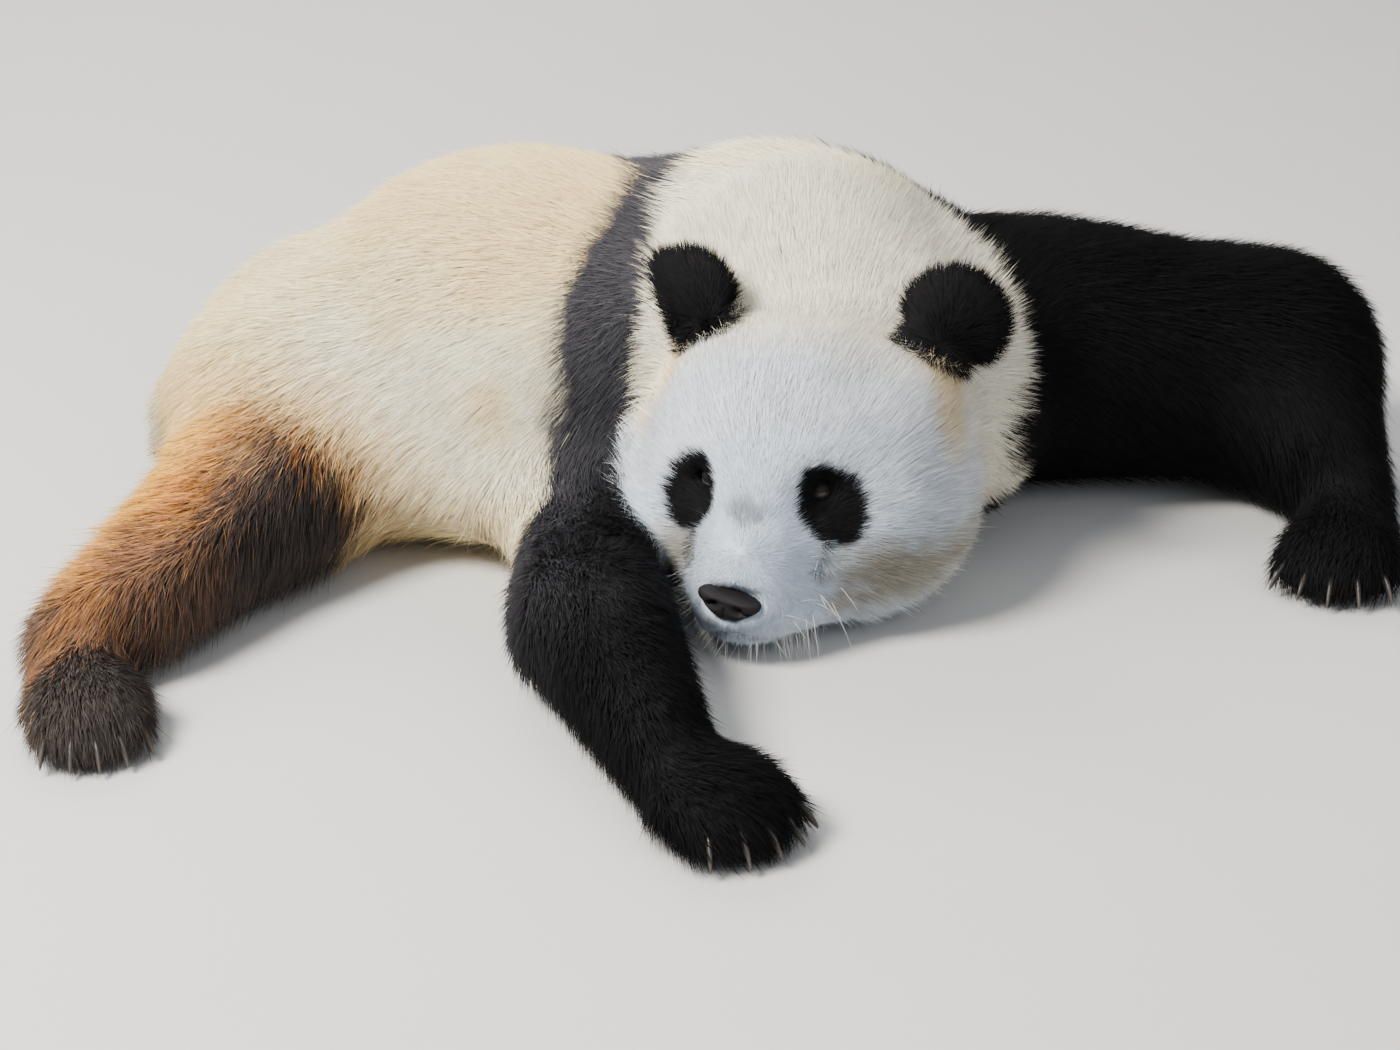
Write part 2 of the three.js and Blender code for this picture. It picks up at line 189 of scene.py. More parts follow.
def meshArrays(mesh):
    # points and triangles of a mesh as arrays
    points = np.empty(len(mesh.vertices) * 3, np.float32)
    mesh.vertices.foreach_get("co", points)
    mesh.calc_loop_triangles()
    triangles = np.empty(len(mesh.loop_triangles) * 3, np.int32)
    mesh.loop_triangles.foreach_get("vertices", triangles)
    return points.reshape(-1, 3).astype(float), triangles.reshape(-1, 3)


def vertexNormals(points, triangles):
    # the crossed edges of all triangles that meet a point, summed and made unit
    a, b, c = (points[triangles[:, k]] for k in range(3))
    cross = np.cross(b - a, c - a)
    sums = [sum(np.bincount(triangles[:, k], along, len(points)) for k in range(3)) for along in cross.T]
    return unit(np.stack(sums, axis=1))


def loftTriangles(k, m):
    # a closed tube of k rings of m points: two triangles for each cell and a fan over each end
    i, j = np.meshgrid(np.arange(k - 1), np.arange(m), indexing="ij")
    a, b = i * m + j, i * m + (j + 1) % m
    cells = np.stack([a, b, b + m, a, b + m, a + m], axis=-1).reshape(-1, 3)
    fan = np.stack([np.zeros(m - 2, int), np.arange(2, m), np.arange(1, m - 1)], axis=1)
    return np.vstack([cells, fan, fan[:, ::-1] + (k - 1) * m])


def newLofts(name, rings, material):
    # closed tubes from an array (tube, ring, point, xyz), each facing outwards
    n, k, m, _ = rings.shape
    points = rings.reshape(n, k * m, 3)
    triangles = loftTriangles(k, m)
    corner = (points - points.mean(axis=1, keepdims=True))[:, triangles]
    volume = np.einsum("nti,nti->n", corner[:, :, 0], np.cross(corner[:, :, 1], corner[:, :, 2]))
    outward = np.where(volume[:, None, None] > 0, triangles, triangles[:, ::-1])
    faces = outward + (np.arange(n) * k * m)[:, None, None]
    return newObject(name, points.reshape(-1, 3), faces.reshape(-1, 3), material)


def tubeRings(paths, radii, above, sides, flat=1.0):
    # points round each path at its radius, the sideways part times flat
    along = unit(np.gradient(paths, axis=1))
    side = unit(np.cross(along, above))
    up = np.cross(side, along)
    turn = np.arange(sides)[:, None] * 2 * math.pi / sides
    ring = side[:, :, None, :] * np.cos(turn) * flat + up[:, :, None, :] * np.sin(turn)
    return paths[:, :, None, :] + ring * radii[:, :, None, None]


def paintVertices(mesh, name, colours):
    # linear colours, one for each vertex
    layer = mesh.color_attributes.new(name, "FLOAT_COLOR", "POINT")
    values = np.hstack([colours, np.ones((len(colours), 1))])
    layer.data.foreach_set("color", values.astype(np.float32).ravel())


def meltedNode(name, grow):
    # a CAD node with doubled corners merged, each point moved out along its normal
    points, triangles = meshArrays(nodes[name].data)
    whole = np.round(points * 1e5).astype(np.int64)
    _, first, back = np.unique(whole, axis=0, return_index=True, return_inverse=True)
    points, triangles = points[first], back.ravel()[triangles]
    return points + vertexNormals(points, triangles) * grow, triangles


def eggMeasure(p, centre, radii, side=1):
    # distance from an egg's centre in its radii, 1 on its surface; side -1 mirrors it
    return lengthOf((p * (1, side, 1) - centre) / radii)


def headDistance(h):
    # rough distance in mm outside the head's egg shapes, below 0 inside
    return np.min([(eggMeasure(h, centre, radii) - 1) * min(radii) for centre, radii in headEggs], axis=0)


def earMeasure(h, side):
    # 1 on the surface of an ear's flat egg, which is shorter below its middle
    yaw, pitch = pose["earTurn"]
    local = (h - mirrored(pose["ear"], side)) @ turnOf(side * yaw, pitch, 0)
    local[:, 2] *= np.where(local[:, 2] < 0, pose["earSquash"], 1.0)
    return lengthOf(local / pose["earRadii"])


def alongBone(q, name):
    # along a chain of bones: distance in radii, bone number plus share along it, and blended direction
    joints = np.array(bones[name]["joints"], float)
    best = np.full(len(q), 1e9)
    place = np.zeros(len(q))
    direction = np.zeros((len(q), 3))
    for k in range(len(joints) - 1):
        span = joints[k + 1] - joints[k]
        t = np.clip((q - joints[k]) @ span / (span @ span), 0, 1)
        distance = lengthOf(q - joints[k] - t[:, None] * span) / bones[name]["radii"][k]
        nearer = distance < best
        best = np.where(nearer, distance, best)
        place = np.where(nearer, k + t, place)
        direction += span / np.linalg.norm(span) / (0.1 + distance[:, None]) ** 4
    return best, place, unit(direction)


def earMask(h, away):
    # 1 on the ears: inside their eggs and clear of the crown, wider round the foot of the right one
    masks = []
    for side, foot in ((1, 0), (-1, 1)):
        measure = earMeasure(h, side)
        inside = np.maximum(ease(measure, 1.17, 1.03), foot * ease(measure, 1.42, 1.28) * ease(away, 12, 6))
        masks.append(inside * ease(away, -20, -8) * ease(h[:, 2], 78, 94))
    return np.maximum(*masks) * (1 - ease(away, 16, 9) * ease(np.abs(h[:, 1]), 104, 95))


def atTips(w, start, end):
    # 1 at the limbs' tips: close to the bones, rising from start to end along them
    return np.max([ease(w[n][0], 1.9, 1.3) * ease(w[n][1], start, end) for n in limbs], axis=0)


def whereOn(points):
    # every measure of place that the coat, its colours and its lie use
    q = toPose(points)
    h = toHead(q)
    away = headDistance(h)
    w = {"q": q, "h": h, "ear": earMask(h, away)}
    w["earNear"] = np.minimum(earMeasure(h, 1), earMeasure(h, -1))
    w["head"] = ease(away, 16, 6) * ease(h[:, 0], -138, -104) * (1 - w["ear"])
    w["fromNose"] = lengthOf(h - pose["noseTip"])
    for name in bones:
        w[name] = alongBone(q, name)
    w["limb"] = np.min([w[n][0] for n in limbs], axis=0)
    w["paw"] = atTips(w, 1.65, 2.3) * (1 - w["head"])
    w["toes"] = atTips(w, 2.0, 2.5)
    w["tail"] = ease(eggMeasure(q, *pose["tail"]), 1.35, 1.0) * ease(q[:, 0], -596, -612)
    w["neck"] = (1 - w["head"]) * ease(eggMeasure(q, *pose["neck"]), 1.05, 0.8)
    return w


# length in mm and stand in degrees of the hairs
coat = {
    "body": (28, 19),
    "neck": (26, 20),
    "limb": (30, 20),
    "leg": (40, 28),
    "paw": (27, 21),
    "tail": (32, 28),
    "ear": (21, 38),
    "crown": (21, 25),
    "cheek": (31, 40),
    "nose": (6.5, 22),
    "faceStart": 34,  # mm from the nose where the face's hairs begin to lengthen
    "faceGrowth": 0.085,  # mm longer for each mm further on
}


def coatAt(w):
    # length in mm and stand in degrees, blended from part to part
    hx, hy, hz = w["h"].T
    legs = [ease(w[n][0], 1.8, 1.2) * ease(w[n][1], 0.2, 0.8) for n in ("legRight", "legLeft")]
    blend = mix(coat["body"], coat["limb"], ease(w["limb"], 1.5, 1.05))
    blend = mix(blend, coat["leg"], np.maximum(*legs))
    for part in ("neck", "paw", "tail"):
        blend = mix(blend, coat[part], w[part])
    (least, flat), (most, steep) = coat["nose"], coat["crown"]
    length = np.clip((w["fromNose"] - coat["faceStart"]) * coat["faceGrowth"] + least, least, most)
    face = np.stack([length, flat + (steep - flat) * ease(w["fromNose"], 60, 240)], axis=1)
    jaw = ease(hz, -50, -86) * ease(w["fromNose"], 90, 140)
    cheek = ease(np.abs(hy), 116, 142) * ease(hz, 74, 24) * ease(hx, 96, 56)
    blend = mix(blend, mix(face, coat["cheek"], np.maximum(jaw, cheek)), w["head"])
    # shorter where an ear rises from the head
    blend[:, 0] *= 1 - 0.4 * ease(w["earNear"], 2.4, 1.5)
    return mix(blend, coat["ear"], w["ear"])


# linear colours
tints = {
    # the face's white, greyed as painted shade
    "white": (0.71, 0.715, 0.715),
    # painted blue shade on the face, strongest on the muzzle
    "paintedShadeBlue": (0.47, 0.56, 0.675),
    "nape": (0.84, 0.775, 0.63),
    "cream": (0.825, 0.705, 0.455),
    "flank": (0.89, 0.82, 0.66),
    "straw": (0.81, 0.61, 0.31),
    "tan": (0.74, 0.48, 0.21),
    "gold": (0.88, 0.44, 0.075),
    "rust": (0.64, 0.225, 0.035),
    "umber": (0.185, 0.105, 0.070),
    "dark": (0.050, 0.041, 0.037),
    "black": (0.0045, 0.0044, 0.0050),
    # painted highlight: the black fur where the light falls on it
    "paintedHighlight": (0.057, 0.055, 0.063),
    # dirt on the crown and cheeks, darkened so that it is also painted shade under the jaw
    "dirtAndShade": (0.25, 0.218, 0.15),
    "smudge": (0.10, 0.105, 0.12),
}

# edges of the markings: X for places along Y, for the band and the knee for heights
neckY = [150, 200, 240, 290, 323, 350, 374, 399, 442, 463, 496, 531, 590, 640, 680, 700]
edges = {
    "neckToFlank": (neckY, [200, -24, -50, -64, -68, -66, -62, -56, -54, -51, -46, -40, -18, 6, 40, 80]),
    "neckToArm": (neckY, [100, 262, 278, 296, 312, 332, 348, 350, 342, 334, 322, 302, 250, 178, 100, 60]),
    "arm": ([120, 150, 200, 260, 330], [-400, -246, -196, -166, -158]),
    "band": (
        [0, 60, 110, 160, 228, 300, 343, 375, 395, 412],
        [-172, -166, -150, -142, -150, -148, -118, -78, -42, -10],
    ),
    "knee": ([20, 50, 97, 126, 150, 170, 200], [-334, -346, -364, -386, -409, -430, -462]),
}
# egg-shaped marks, centre and radii: two in the pose, two in the head
marks = {
    "paleFlank": ((-270, 320, 190), (210, 190, 130)),
    "haunch": ((-560, 400, 120), (160, 180, 115)),
    "crownDirt": ((0, 70, 135), (70, 60, 44)),
    "smudge": ((164, 0, 9), (26, 27, 15)),
}
# dirt on the left and the right cheek, and at the mouth's corner, where it is also painted shade under the
# jaw's edge
cheekDirtAndShade = {
    1: {"middle": (122, -60), "reach": (70, 43), "share": 0.85, "corner": (142, 84, -82)},
    -1: {"middle": (94, -50), "reach": (38, 40), "share": 0.595, "corner": (142, 84, -54)},
}
# the dark patch round an eye: place, lean and size
eyePatch = {
    "out": 12, "down": 12, "forward": 104, "lean": (0.46, 0.89),
    "half": 47, "width": 35, "narrow": 7, "deep": 74,
}
lips = {"height": -103, "drop": 9, "width": 60, "mouthDepth": 3.2, "cleftDepth": 3.0}


def patchMeasure(h, side):
    # 1 on the rim of an eye's patch: an egg that leans down and out, narrower above
    out = side * h[:, 1] - pose["eye"][1] - eyePatch["out"]
    down = pose["eye"][2] - h[:, 2] - eyePatch["down"]
    s, c = eyePatch["lean"]
    along = (out * s + down * c) / eyePatch["half"]
    wide = (out * c - down * s) / (eyePatch["width"] - eyePatch["narrow"] * np.clip(-along, 0, 1))
    return np.linalg.norm([along, wide, (h[:, 0] - eyePatch["forward"]) / eyePatch["deep"]], axis=0)


def layered(colour, *layers):
    # tints laid over a colour or another tint, one after another, each by its share
    colour = tints[colour] if isinstance(colour, str) else colour
    for name, share in layers:
        colour = mix(colour, tints[name], share)
    return colour


def trunkColour(w, broad, middle):
    # cream, palest in the middle of the flank, with straw along the back and tan towards the rump
    x, _, z = w["q"].T
    pale, haunch = (eggMeasure(w["q"], *marks[name]) for name in ("paleFlank", "haunch"))
    return layered(
        "cream",
        ("flank", 0.85 * ease(pale + 0.25 * broad, 1.3, 0.4)),
        ("straw", 0.85 * ease(middle + 0.5 * broad + 1.3 * ease(z, 262, 350), 0.0, 1.1)),
        ("straw", 0.8 * ease(x + 45 * middle, -380, -560) * ease(z, 350, 220)),
        ("straw", 0.35 * ease(z + 20 * middle, 75, 20)),
        ("tan", 0.8 * ease(haunch + 0.2 * middle, 1.2, 0.45)),
        ("tan", 0.5 * ease(x + 35 * middle, -450, -600) * ease(z + 30 * broad, 220, 90)),
        ("nape", 0.7 * w["tail"]),
    )


def legColour(colour, w, name, paleness, ragged, middle):
    # gold at the back, rust along the top, umber shading into the dark of the knee and the foot
    x, y, z = w["q"].T
    near, place, _ = w[name]
    beyond = np.clip(place - 1, 0, 1)
    joints = np.array(bones[name]["joints"], float)
    across = unit(np.cross(joints[2] - joints[1], [0, 0, 1.0]))
    across = across * np.sign(across[0])  # from the lower bone towards +X
    side = (w["q"] - joints[1]) @ across + 2.5 * ragged + 9 * middle
    root = ease(near + 0.2 * middle, 2.1, 1.2) * ease(place + 0.15 * middle, 0.15, 0.95)
    colour = layered(colour, ("tan", 0.8 * root * paleness))
    onLeg = ease(near + 0.14 * middle, 1.72, 1.05) * ease(place + 0.12 * middle, 0.6, 1.14)
    streak = noise(np.stack([place * 90, side, near * 40], axis=1), 13, 7)
    core = np.hypot((place - 1.7) / 0.26, (side - 8) / 34)
    ankle = place + 0.08 * middle + 0.16 * streak + 0.2 * np.clip(np.abs(side + 8) / 50, 0, 1.4) ** 2
    fur = layered(
        "gold",
        ("rust", 0.9 * ease(side, -60, -2)),
        ("gold", 0.6 * ease(streak, 0.05, 0.5) * ease(side, 70, 20)),
        ("umber", 0.5 * ease(streak, -0.1, -0.5) * ease(side, -40, 0)),
        ("umber", 0.8 * ease(core + 0.4 * streak, 1.3, 0.4)),
        ("umber", ease(side, -12 + 30 * beyond, 36 + 16 * beyond)),
        ("dark", ease(side, 20 + 14 * beyond, 62 - 4 * beyond)),
        ("dark", ease(side, -6, -34) * ease(place, 1.78, 1.98)),  # the heel's outer edge
        ("umber", 0.85 * ease(ankle, 1.82, 2.1)),
        ("dark", ease(ankle, 1.96, 2.3)),
        ("dark", ease(z + ragged - 0.45 * side, 62, 16)),
    )
    if name == "legRight":
        # the knee's dark ends along an edge, in a rusty fringe
        over = x - np.interp(z, *edges["knee"]) + 1.5 * ragged
        knee = ease(side, 0, 40) * ease(near, 2.5, 2.0) * ease(place, 0.8, 1.0) * ease(y, 395, 350)
        fur = layered(fur, ("rust", 0.55 * ease(over + 12 * streak, 4, 22)))
        onLeg = np.maximum(onLeg, knee) * ease(over, 42, 24)
    return mix(colour, mix(tints["dark"], fur, paleness), onLeg)


def shoulderColour(colour, w, ragged, broad, middle):
    # shoulders and forelegs black, browner on the band as a painted highlight that lightens the black higher
    # up and towards the left, where the light falls, with the neck's white between its edges
    x, y, z = w["q"].T
    # painted highlight: the black is lighter higher up and towards the left, where the light falls
    paintedHighlight = np.maximum(ease(z, 20, 230), 0.8 * ease(x, -70, -140))
    paintedHighlight = ease(0.3 * middle + 0.2 * broad + paintedHighlight, 0.1, 1.1) * ease(x, 300, 120) * ease(y, -110, 130)
    lean = z + 0.05 * np.clip(y - 500, 0, 160)  # the band leans beyond the spine
    band = ease(x - np.interp(lean, *edges["band"]) + 1.2 * ragged, -6, 6)
    arm = ease(w["armRight"][0] + 0.04 * middle, 1.9, 1.7) * ease(y + ragged, 340, 316)
    arm = arm * ease(x - np.interp(y, *edges["arm"]) + ragged, -6, 6)
    colour = mix(colour, layered("black", ("paintedHighlight", paintedHighlight)), np.maximum(band, arm))
    nape = layered("nape", ("cream", 0.6 * ease(0.7 * middle + broad, 0.0, 0.9)))
    inside = np.minimum(x - np.interp(y, *edges["neckToFlank"]), np.interp(y, *edges["neckToArm"]) - x)
    return mix(colour, nape, ease(inside + ragged, -5, 5) * ease(z, 74, 98))


def headColour(w, middle):
    # white greyed by painted shade, with painted blue shade towards the muzzle, tan under the ears, dirt and
    # painted shade on the cheeks and dark eye patches
    q, h = w["q"], w["h"]
    hx, hy, hz = h.T
    face = layered(
        "white",
        ("nape", ease(hx - 0.4 * hz, 0, -110)),
        # painted blue shade over the face, more towards the muzzle
        ("paintedShadeBlue", 0.55 * ease(hx, -40, 90)),
        ("paintedShadeBlue", 0.75 * ease(hx - 0.3 * hz + 12 * middle, 60, 170)),
    )
    speckle = 0.35 * middle + 0.3 * noise(q, 12, 9)
    for side, dirtAndShade in cheekDirtAndShade.items():
        (across, up), (wide, tall) = dirtAndShade["middle"], dirtAndShade["reach"]
        # dirt under each eye; on the left cheek it reaches down over the jaw's edge as painted shade
        cheek = ease(np.hypot((side * hy - across) / wide, (hz - up) / tall) + speckle, 1.3, 0.3)
        corner = eggMeasure(h, dirtAndShade["corner"], (30, 22, 22), side)
        # tan under the ear, running down the crease behind the cheek
        start, end = np.array([-34, side * 148, 92]), np.array([22, side * 162, 30])
        share = np.clip((h - start) @ (end - start) / ((end - start) @ (end - start)), 0, 1)
        below = lengthOf(h - start - share[:, None] * (end - start)) + 24 * share
        face = layered(
            face,
            ("dirtAndShade", dirtAndShade["share"] * cheek * ease(hx, -60, 20) * ease(hx, 176, 140)),
            # dirt and painted shade at the mouth's corner, under the jaw's edge
            ("dirtAndShade", 0.5 * ease(corner + 0.8 * speckle, 1.3, 0.3)),
            ("straw", 0.75 * ease(below + 6 * middle, 52, 16)),
        )
    crown, smudge = (eggMeasure(h, *marks[name]) for name in ("crownDirt", "smudge"))
    smudge = smudge + 0.3 * middle + 0.3 * noise(q, 7, 8)
    patches = [ease(patchMeasure(h, side) + 0.05 * noise(q, 10, 5), 1.08, 0.94) for side in (1, -1)]
    lip = np.abs(hz - lipHeight(hy)) + 0.6 * noise(q, 6, 6)
    return layered(
        face,
        ("dirtAndShade", 0.24 * ease(crown + 0.5 * middle, 1.3, 0.4)),
        ("smudge", 0.65 * ease(smudge, 1.2, 0.3)),
        ("black", np.maximum(*patches) * ease(hx, 20, 40)),
        ("dark", 0.45 * ease(lip, 4.0, 1.0) * ease(hx, 105, 135) * ease(np.abs(hy), 62, 50)),
    )


def coatColour(w):
    # the colour of the fur and of the skin under it, laid on from the trunk to the ears
    q = w["q"]
    ragged = 4 * noise(q, 26, 1) + 2.5 * noise(q, 9, 2)
    broad, middle = noise(q, 170, 3), noise(q, 60, 4)
    colour = trunkColour(w, broad, middle)
    for name, paleness in (("legRight", 1.0), ("legLeft", 0.5)):
        colour = legColour(colour, w, name, paleness, ragged, middle)
    colour = shoulderColour(colour, w, ragged, broad, middle)
    colour = mix(colour, headColour(w, middle), w["head"])
    return layered(colour, ("black", ease(w["ear"], 0.25, 0.6)))


def lipHeight(y):
    # height of the mouth's line: a cosine that falls from under the nose to the corners
    return lips["height"] + lips["drop"] * np.cos(np.clip(np.abs(y) / lips["width"], 0, 1) * math.pi)


# places that the hair runs out from, and how much it hangs
comb = {"ruff": (116, 300, 200), "muzzle": (182, 0, -30), "ear": (-62, 136, 124), "hang": 0.75}


def combAt(w, normals):
    # direction of the hair: outwards from the nose on the head, elsewhere along the bones and down
    q, h = w["q"], w["h"]
    total = np.zeros_like(q)
    for name in bones:
        near, _, direction = w[name]
        strength = (1.2 if name == "spine" else 1) / (0.02 + np.maximum(near - 0.2, 0) ** 4)
        total += direction * strength[:, None]
    # the ruff flares away from the head
    flare = unit(q - comb["ruff"]) - 0.5 * headTurn[:, 0]
    total = unit(mix(unit(total), flare, w["neck"] * 0.85))
    # fur on the flanks hangs towards the floor
    hang = (1 - np.abs(normals[:, 2:3])) * (1 - w["neck"][:, None] * 0.4)
    total = unit(total + np.array([0, 0, -comb["hang"]]) * hang)
    spread = h - comb["muzzle"]
    spread[:, 2] += 26 * ease(h[:, 2], 0, 60)
    total = mix(total, unit(spread) @ headTurn.T, w["head"])
    for side in (1, -1):
        outward = unit(h - mirrored(comb["ear"], side)) @ headTurn.T
        total = mix(total, outward, ease(earMeasure(h, side), 1.4, 1.2) * w["ear"])
    return unit(total - normals * dot(total, normals)[:, None])


skinShape = {
    "voxel": 0.0072,
    "grow": 0.0006,
    "rounds": 34,  # of smoothing, and fewer on these parts
    "fewer": {"toes": 5, "head": 7, "ear": 4},
    "floorGap": 3.0,
    "earSkin": (17, 51, 50),
    "earSkinTurn": (10, -6),
}

fleshNodes = sorted(n for n in nodes if not n.startswith(("eye_", "claw_", "nose")))
print("flesh nodes:", len(fleshNodes))


def neighbours(triangles):
    # both ends of every edge, each way
    ends = np.vstack([triangles[:, [0, 1]], triangles[:, [1, 2]], triangles[:, [2, 0]]])
    ends = np.unique(np.sort(ends, axis=1), axis=0)
    return np.concatenate([ends[:, 0], ends[:, 1]]), np.concatenate([ends[:, 1], ends[:, 0]])


def relaxed(values, link, rounds, share=0.55):
    # each value moves towards its neighbours' mean, for its number of rounds
    here, there = link
    count = np.bincount(here, minlength=len(values)).astype(float)
    rounds = np.broadcast_to(np.asarray(rounds, float), len(values))
    for n in range(int(rounds.max())):
        mean = np.stack([np.bincount(here, column[there], len(values)) for column in values.T], axis=1)
        move = mean / count[:, None] - values
        values = values + move * (share * np.clip(rounds - n, 0, 1))[:, None]
    return values


def joinedFlesh():
    # the flesh nodes, grown over their cuts and remeshed as one closed form
    allPoints, allTriangles, start = [], [], 0
    for name in fleshNodes:
        points, triangles = meltedNode(name, skinShape["grow"])
        allPoints.append(points)
        allTriangles.append(triangles + start)
        start += len(points)
    rough = newObject("roughFlesh", np.vstack(allPoints), np.vstack(allTriangles), None)
    remesh = rough.modifiers.new("remesh", "REMESH")
    remesh.mode = "VOXEL"
    remesh.voxel_size = skinShape["voxel"]
    shape = bpy.data.meshes.new_from_object(rough.evaluated_get(bpy.context.evaluated_depsgraph_get()))
    bpy.data.objects.remove(rough)
    points, triangles = meshArrays(shape)
    bpy.data.meshes.remove(shape)
    return points, triangles


def refined(points, triangles, wanted):
    # splits each wanted edge in two, and the triangles to match
    work = bmesh.new()
    mesh = bpy.data.meshes.new("work")
    mesh.from_pydata(points.tolist(), [], triangles.tolist())
    work.from_mesh(mesh)
    work.verts.ensure_lookup_table()
    chosen = [e for e in work.edges if all(wanted[v.index] for v in e.verts)]
    bmesh.ops.subdivide_edges(work, edges=chosen, cuts=1, use_grid_fill=True)
    bmesh.ops.triangulate(work, faces=work.faces[:])
    work.to_mesh(mesh)
    work.free()
    points, triangles = meshArrays(mesh)
    bpy.data.meshes.remove(mesh)
    return points, triangles


eyes = {
    "radius": 12.5,
    "axis": (0.88, 0.46, 0.10),
    "opening": 2.5,  # degrees that each lid stands open at the middle
    "slitHeight": -9.0,
    "slitTilt": 7.0,
    "lidOut": 13.9,
    "lidIn": 12.7,
    "lidTurn": 82,  # degrees from the slit's middle to a lid's corner
    "lidHeight": 84,  # degrees up or down to its far edge
    "pitClosed": 7.0,  # mm that the flesh closes in round the ball
    "pit": 11.5,  # the hole's least radius
    "clear": 13.4,  # the flesh's least distance from the ball's centre
    "hollow": 2.2,
}
eyeTints = {
    "pupil": (0.004, 0.004, 0.004),
    "iris": (0.045, 0.018, 0.007),
    "white": (0.03, 0.022, 0.02),
    "lid": (0.008, 0.008, 0.008),
    "lidEdge": (0.035, 0.030, 0.030),
}


def faceMask(points, margin=0):
    # True on the front of the face
    h = toHead(toPose(points))
    return (eggMeasure(h, (150, 0, -22), np.array([92, 112, 92]) + margin) < 1) & (headDistance(h) < 20)


def shapeSkin():
    # flesh made one, smoothed, laid inside the coat, then given its face
    points, triangles = joinedFlesh()
    link = neighbours(triangles)
    w = whereOn(points)
    rounds = np.full(len(points), float(skinShape["rounds"]))
    for part, fewer in skinShape["fewer"].items():
        rounds += (fewer - rounds) * w[part]
    rounds = relaxed(rounds[:, None], link, 6)[:, 0]
    points = relaxed(points, link, rounds)
    length, stand = coatAt(whereOn(points)).T
    depth = relaxed((length * np.sin(np.radians(stand)))[:, None], link, 8)[:, 0]
    low = points[:, 2] * 1000
    depth = depth * ease(low, 0, 45) + skinShape["floorGap"] * ease(low, 45, 0)
    normals = relaxed(vertexNormals(points, triangles), link, 3)
    points = points - unit(normals) * depth[:, None] / 1000
    points = roundedEars(relaxed(points, link, 3))
    points[:, 2] = np.maximum(points[:, 2], skinShape["floorGap"] / 1000)
    for margin in (14, 0):
        points, triangles = refined(points, triangles, faceMask(points, margin))
    return faceDetail(points), triangles


def roundedEars(points):
    # where an ear stands clear of the head, its skin moves onto a flat egg for a round outline
    h = toHead(toPose(points))
    clear = ease(headDistance(h), 14, 34)
    yaw, pitch = skinShape["earSkinTurn"]
    for side in (1, -1):
        centre = mirrored(pose["ear"], side)
        local = (h - centre) @ turnOf(side * yaw, pitch, 0)
        measure = np.maximum(lengthOf(local / skinShape["earSkin"]), 0.3)
        pull = clear * ease(earMeasure(h, side), 1.9, 1.6) * (1 - 1 / measure)
        h = h + (centre - h) * pull[:, None]
    return fromPose(fromHead(h))


def faceDetail(points):
    # fills the eye sockets to the lids, then draws the mouth's line and the cleft above it
    h = toHead(toPose(points))
    front = headDistance(h) < 30
    for side in (1, -1):
        eye = mirrored(pose["eye"], side)
        away = h - eye
        # the flesh closes in round the ball
        axis = unit(mirrored(eyes["axis"], side))
        ahead = away @ axis
        sideways = away - ahead[:, None] * axis
        radius = lengthOf(sideways)
        close = np.minimum(eyes["pitClosed"] * ease(radius, 34, 18), np.maximum(radius - eyes["pit"], 0))
        near = front & (lengthOf(away) < 40) & (ahead > -4) & (h[:, 0] > 85)
        h = h - unit(sideways) * np.where(near, close, 0)[:, None]
        # it stays outside the ball, in a shallow hollow
        away = h - eye
        distance = lengthOf(away)
        low = eyes["clear"] + 2.0 * ease(distance, 14, 30)
        reach = front & (distance < 34) & (h[:, 0] > 85)
        h = h + unit(away) * np.where(reach, np.maximum(low - distance, 0), 0)[:, None]
        h[:, 0] -= eyes["hollow"] * ease(distance, 34, 20) * ease(distance, 12, 19) * reach
    wide, high, line = np.abs(h[:, 1]), h[:, 2], lipHeight(h[:, 1])
    mouth = ease(np.abs(high - line), 5, 0.5) * ease(h[:, 0], 105, 135) * ease(wide, 62, 48) * front
    h[:, 0] -= lips["mouthDepth"] * mouth
    cleft = ease(wide, 4, 0.5) * ease(high, line - 2, line + 6) * ease(high, -72, -84) * (h[:, 0] > 180)
    h[:, 0] -= lips["cleftDepth"] * cleft
    return fromPose(fromHead(h))


def feed(tree, node, inputs):
    # sets a node's inputs: values as they are, and sockets as links
    for key, value in inputs.items():
        if isinstance(value, bpy.types.NodeSocket):
            tree.links.new(value, node.inputs[key])
        else:
            node.inputs[key].default_value = value


def nodeOf(tree, kind, inputs=None, **settings):
    # a node with its settings and its inputs
    node = tree.nodes.new(kind)
    for key, value in settings.items():
        setattr(node, key, value)
    feed(tree, node, inputs or {})
    return node


breakupInputs = ("Fine Scale", "Broad Scale", "Strength", "Roughness")


def makeBreakup():
    # group: two sizes of noise on Object coordinates make a shade round 1, a roughness and a height
    group = bpy.data.node_groups.new("breakup", "ShaderNodeTree")
    for names, way in ((breakupInputs, "INPUT"), (("Shade", "Rough", "Height"), "OUTPUT")):
        for name in names:
            group.interface.new_socket(name, in_out=way, socket_type="NodeSocketFloat")
    given = nodeOf(group, "NodeGroupInput").outputs
    place = nodeOf(group, "ShaderNodeTexCoord").outputs["Object"]
    inputs = {"Vector": place, "Scale": given["Fine Scale"], "Detail": 4.0, "Roughness": 0.6}
    fine = nodeOf(group, "ShaderNodeTexNoise", inputs).outputs["Fac"]
    inputs = {"Vector": place, "Scale": given["Broad Scale"], "Detail": 2.0}
    broad = nodeOf(group, "ShaderNodeTexNoise", inputs).outputs["Fac"]

    def step(operation, *values, clamp=False):
        # one step of arithmetic on sockets and numbers
        inputs = dict(enumerate(values))
        return nodeOf(group, "ShaderNodeMath", inputs, operation=operation, use_clamp=clamp).outputs[0]

    centred = step("SUBTRACT", step("ADD", fine, broad), 1.0)
    shade = step("MULTIPLY_ADD", centred, given["Strength"], 1.0)
    rough = step("MULTIPLY_ADD", centred, 0.22, given["Roughness"], clamp=True)
    nodeOf(group, "NodeGroupOutput", {"Shade": shade, "Rough": rough, "Height": fine})
    return group


breakup = makeBreakup()

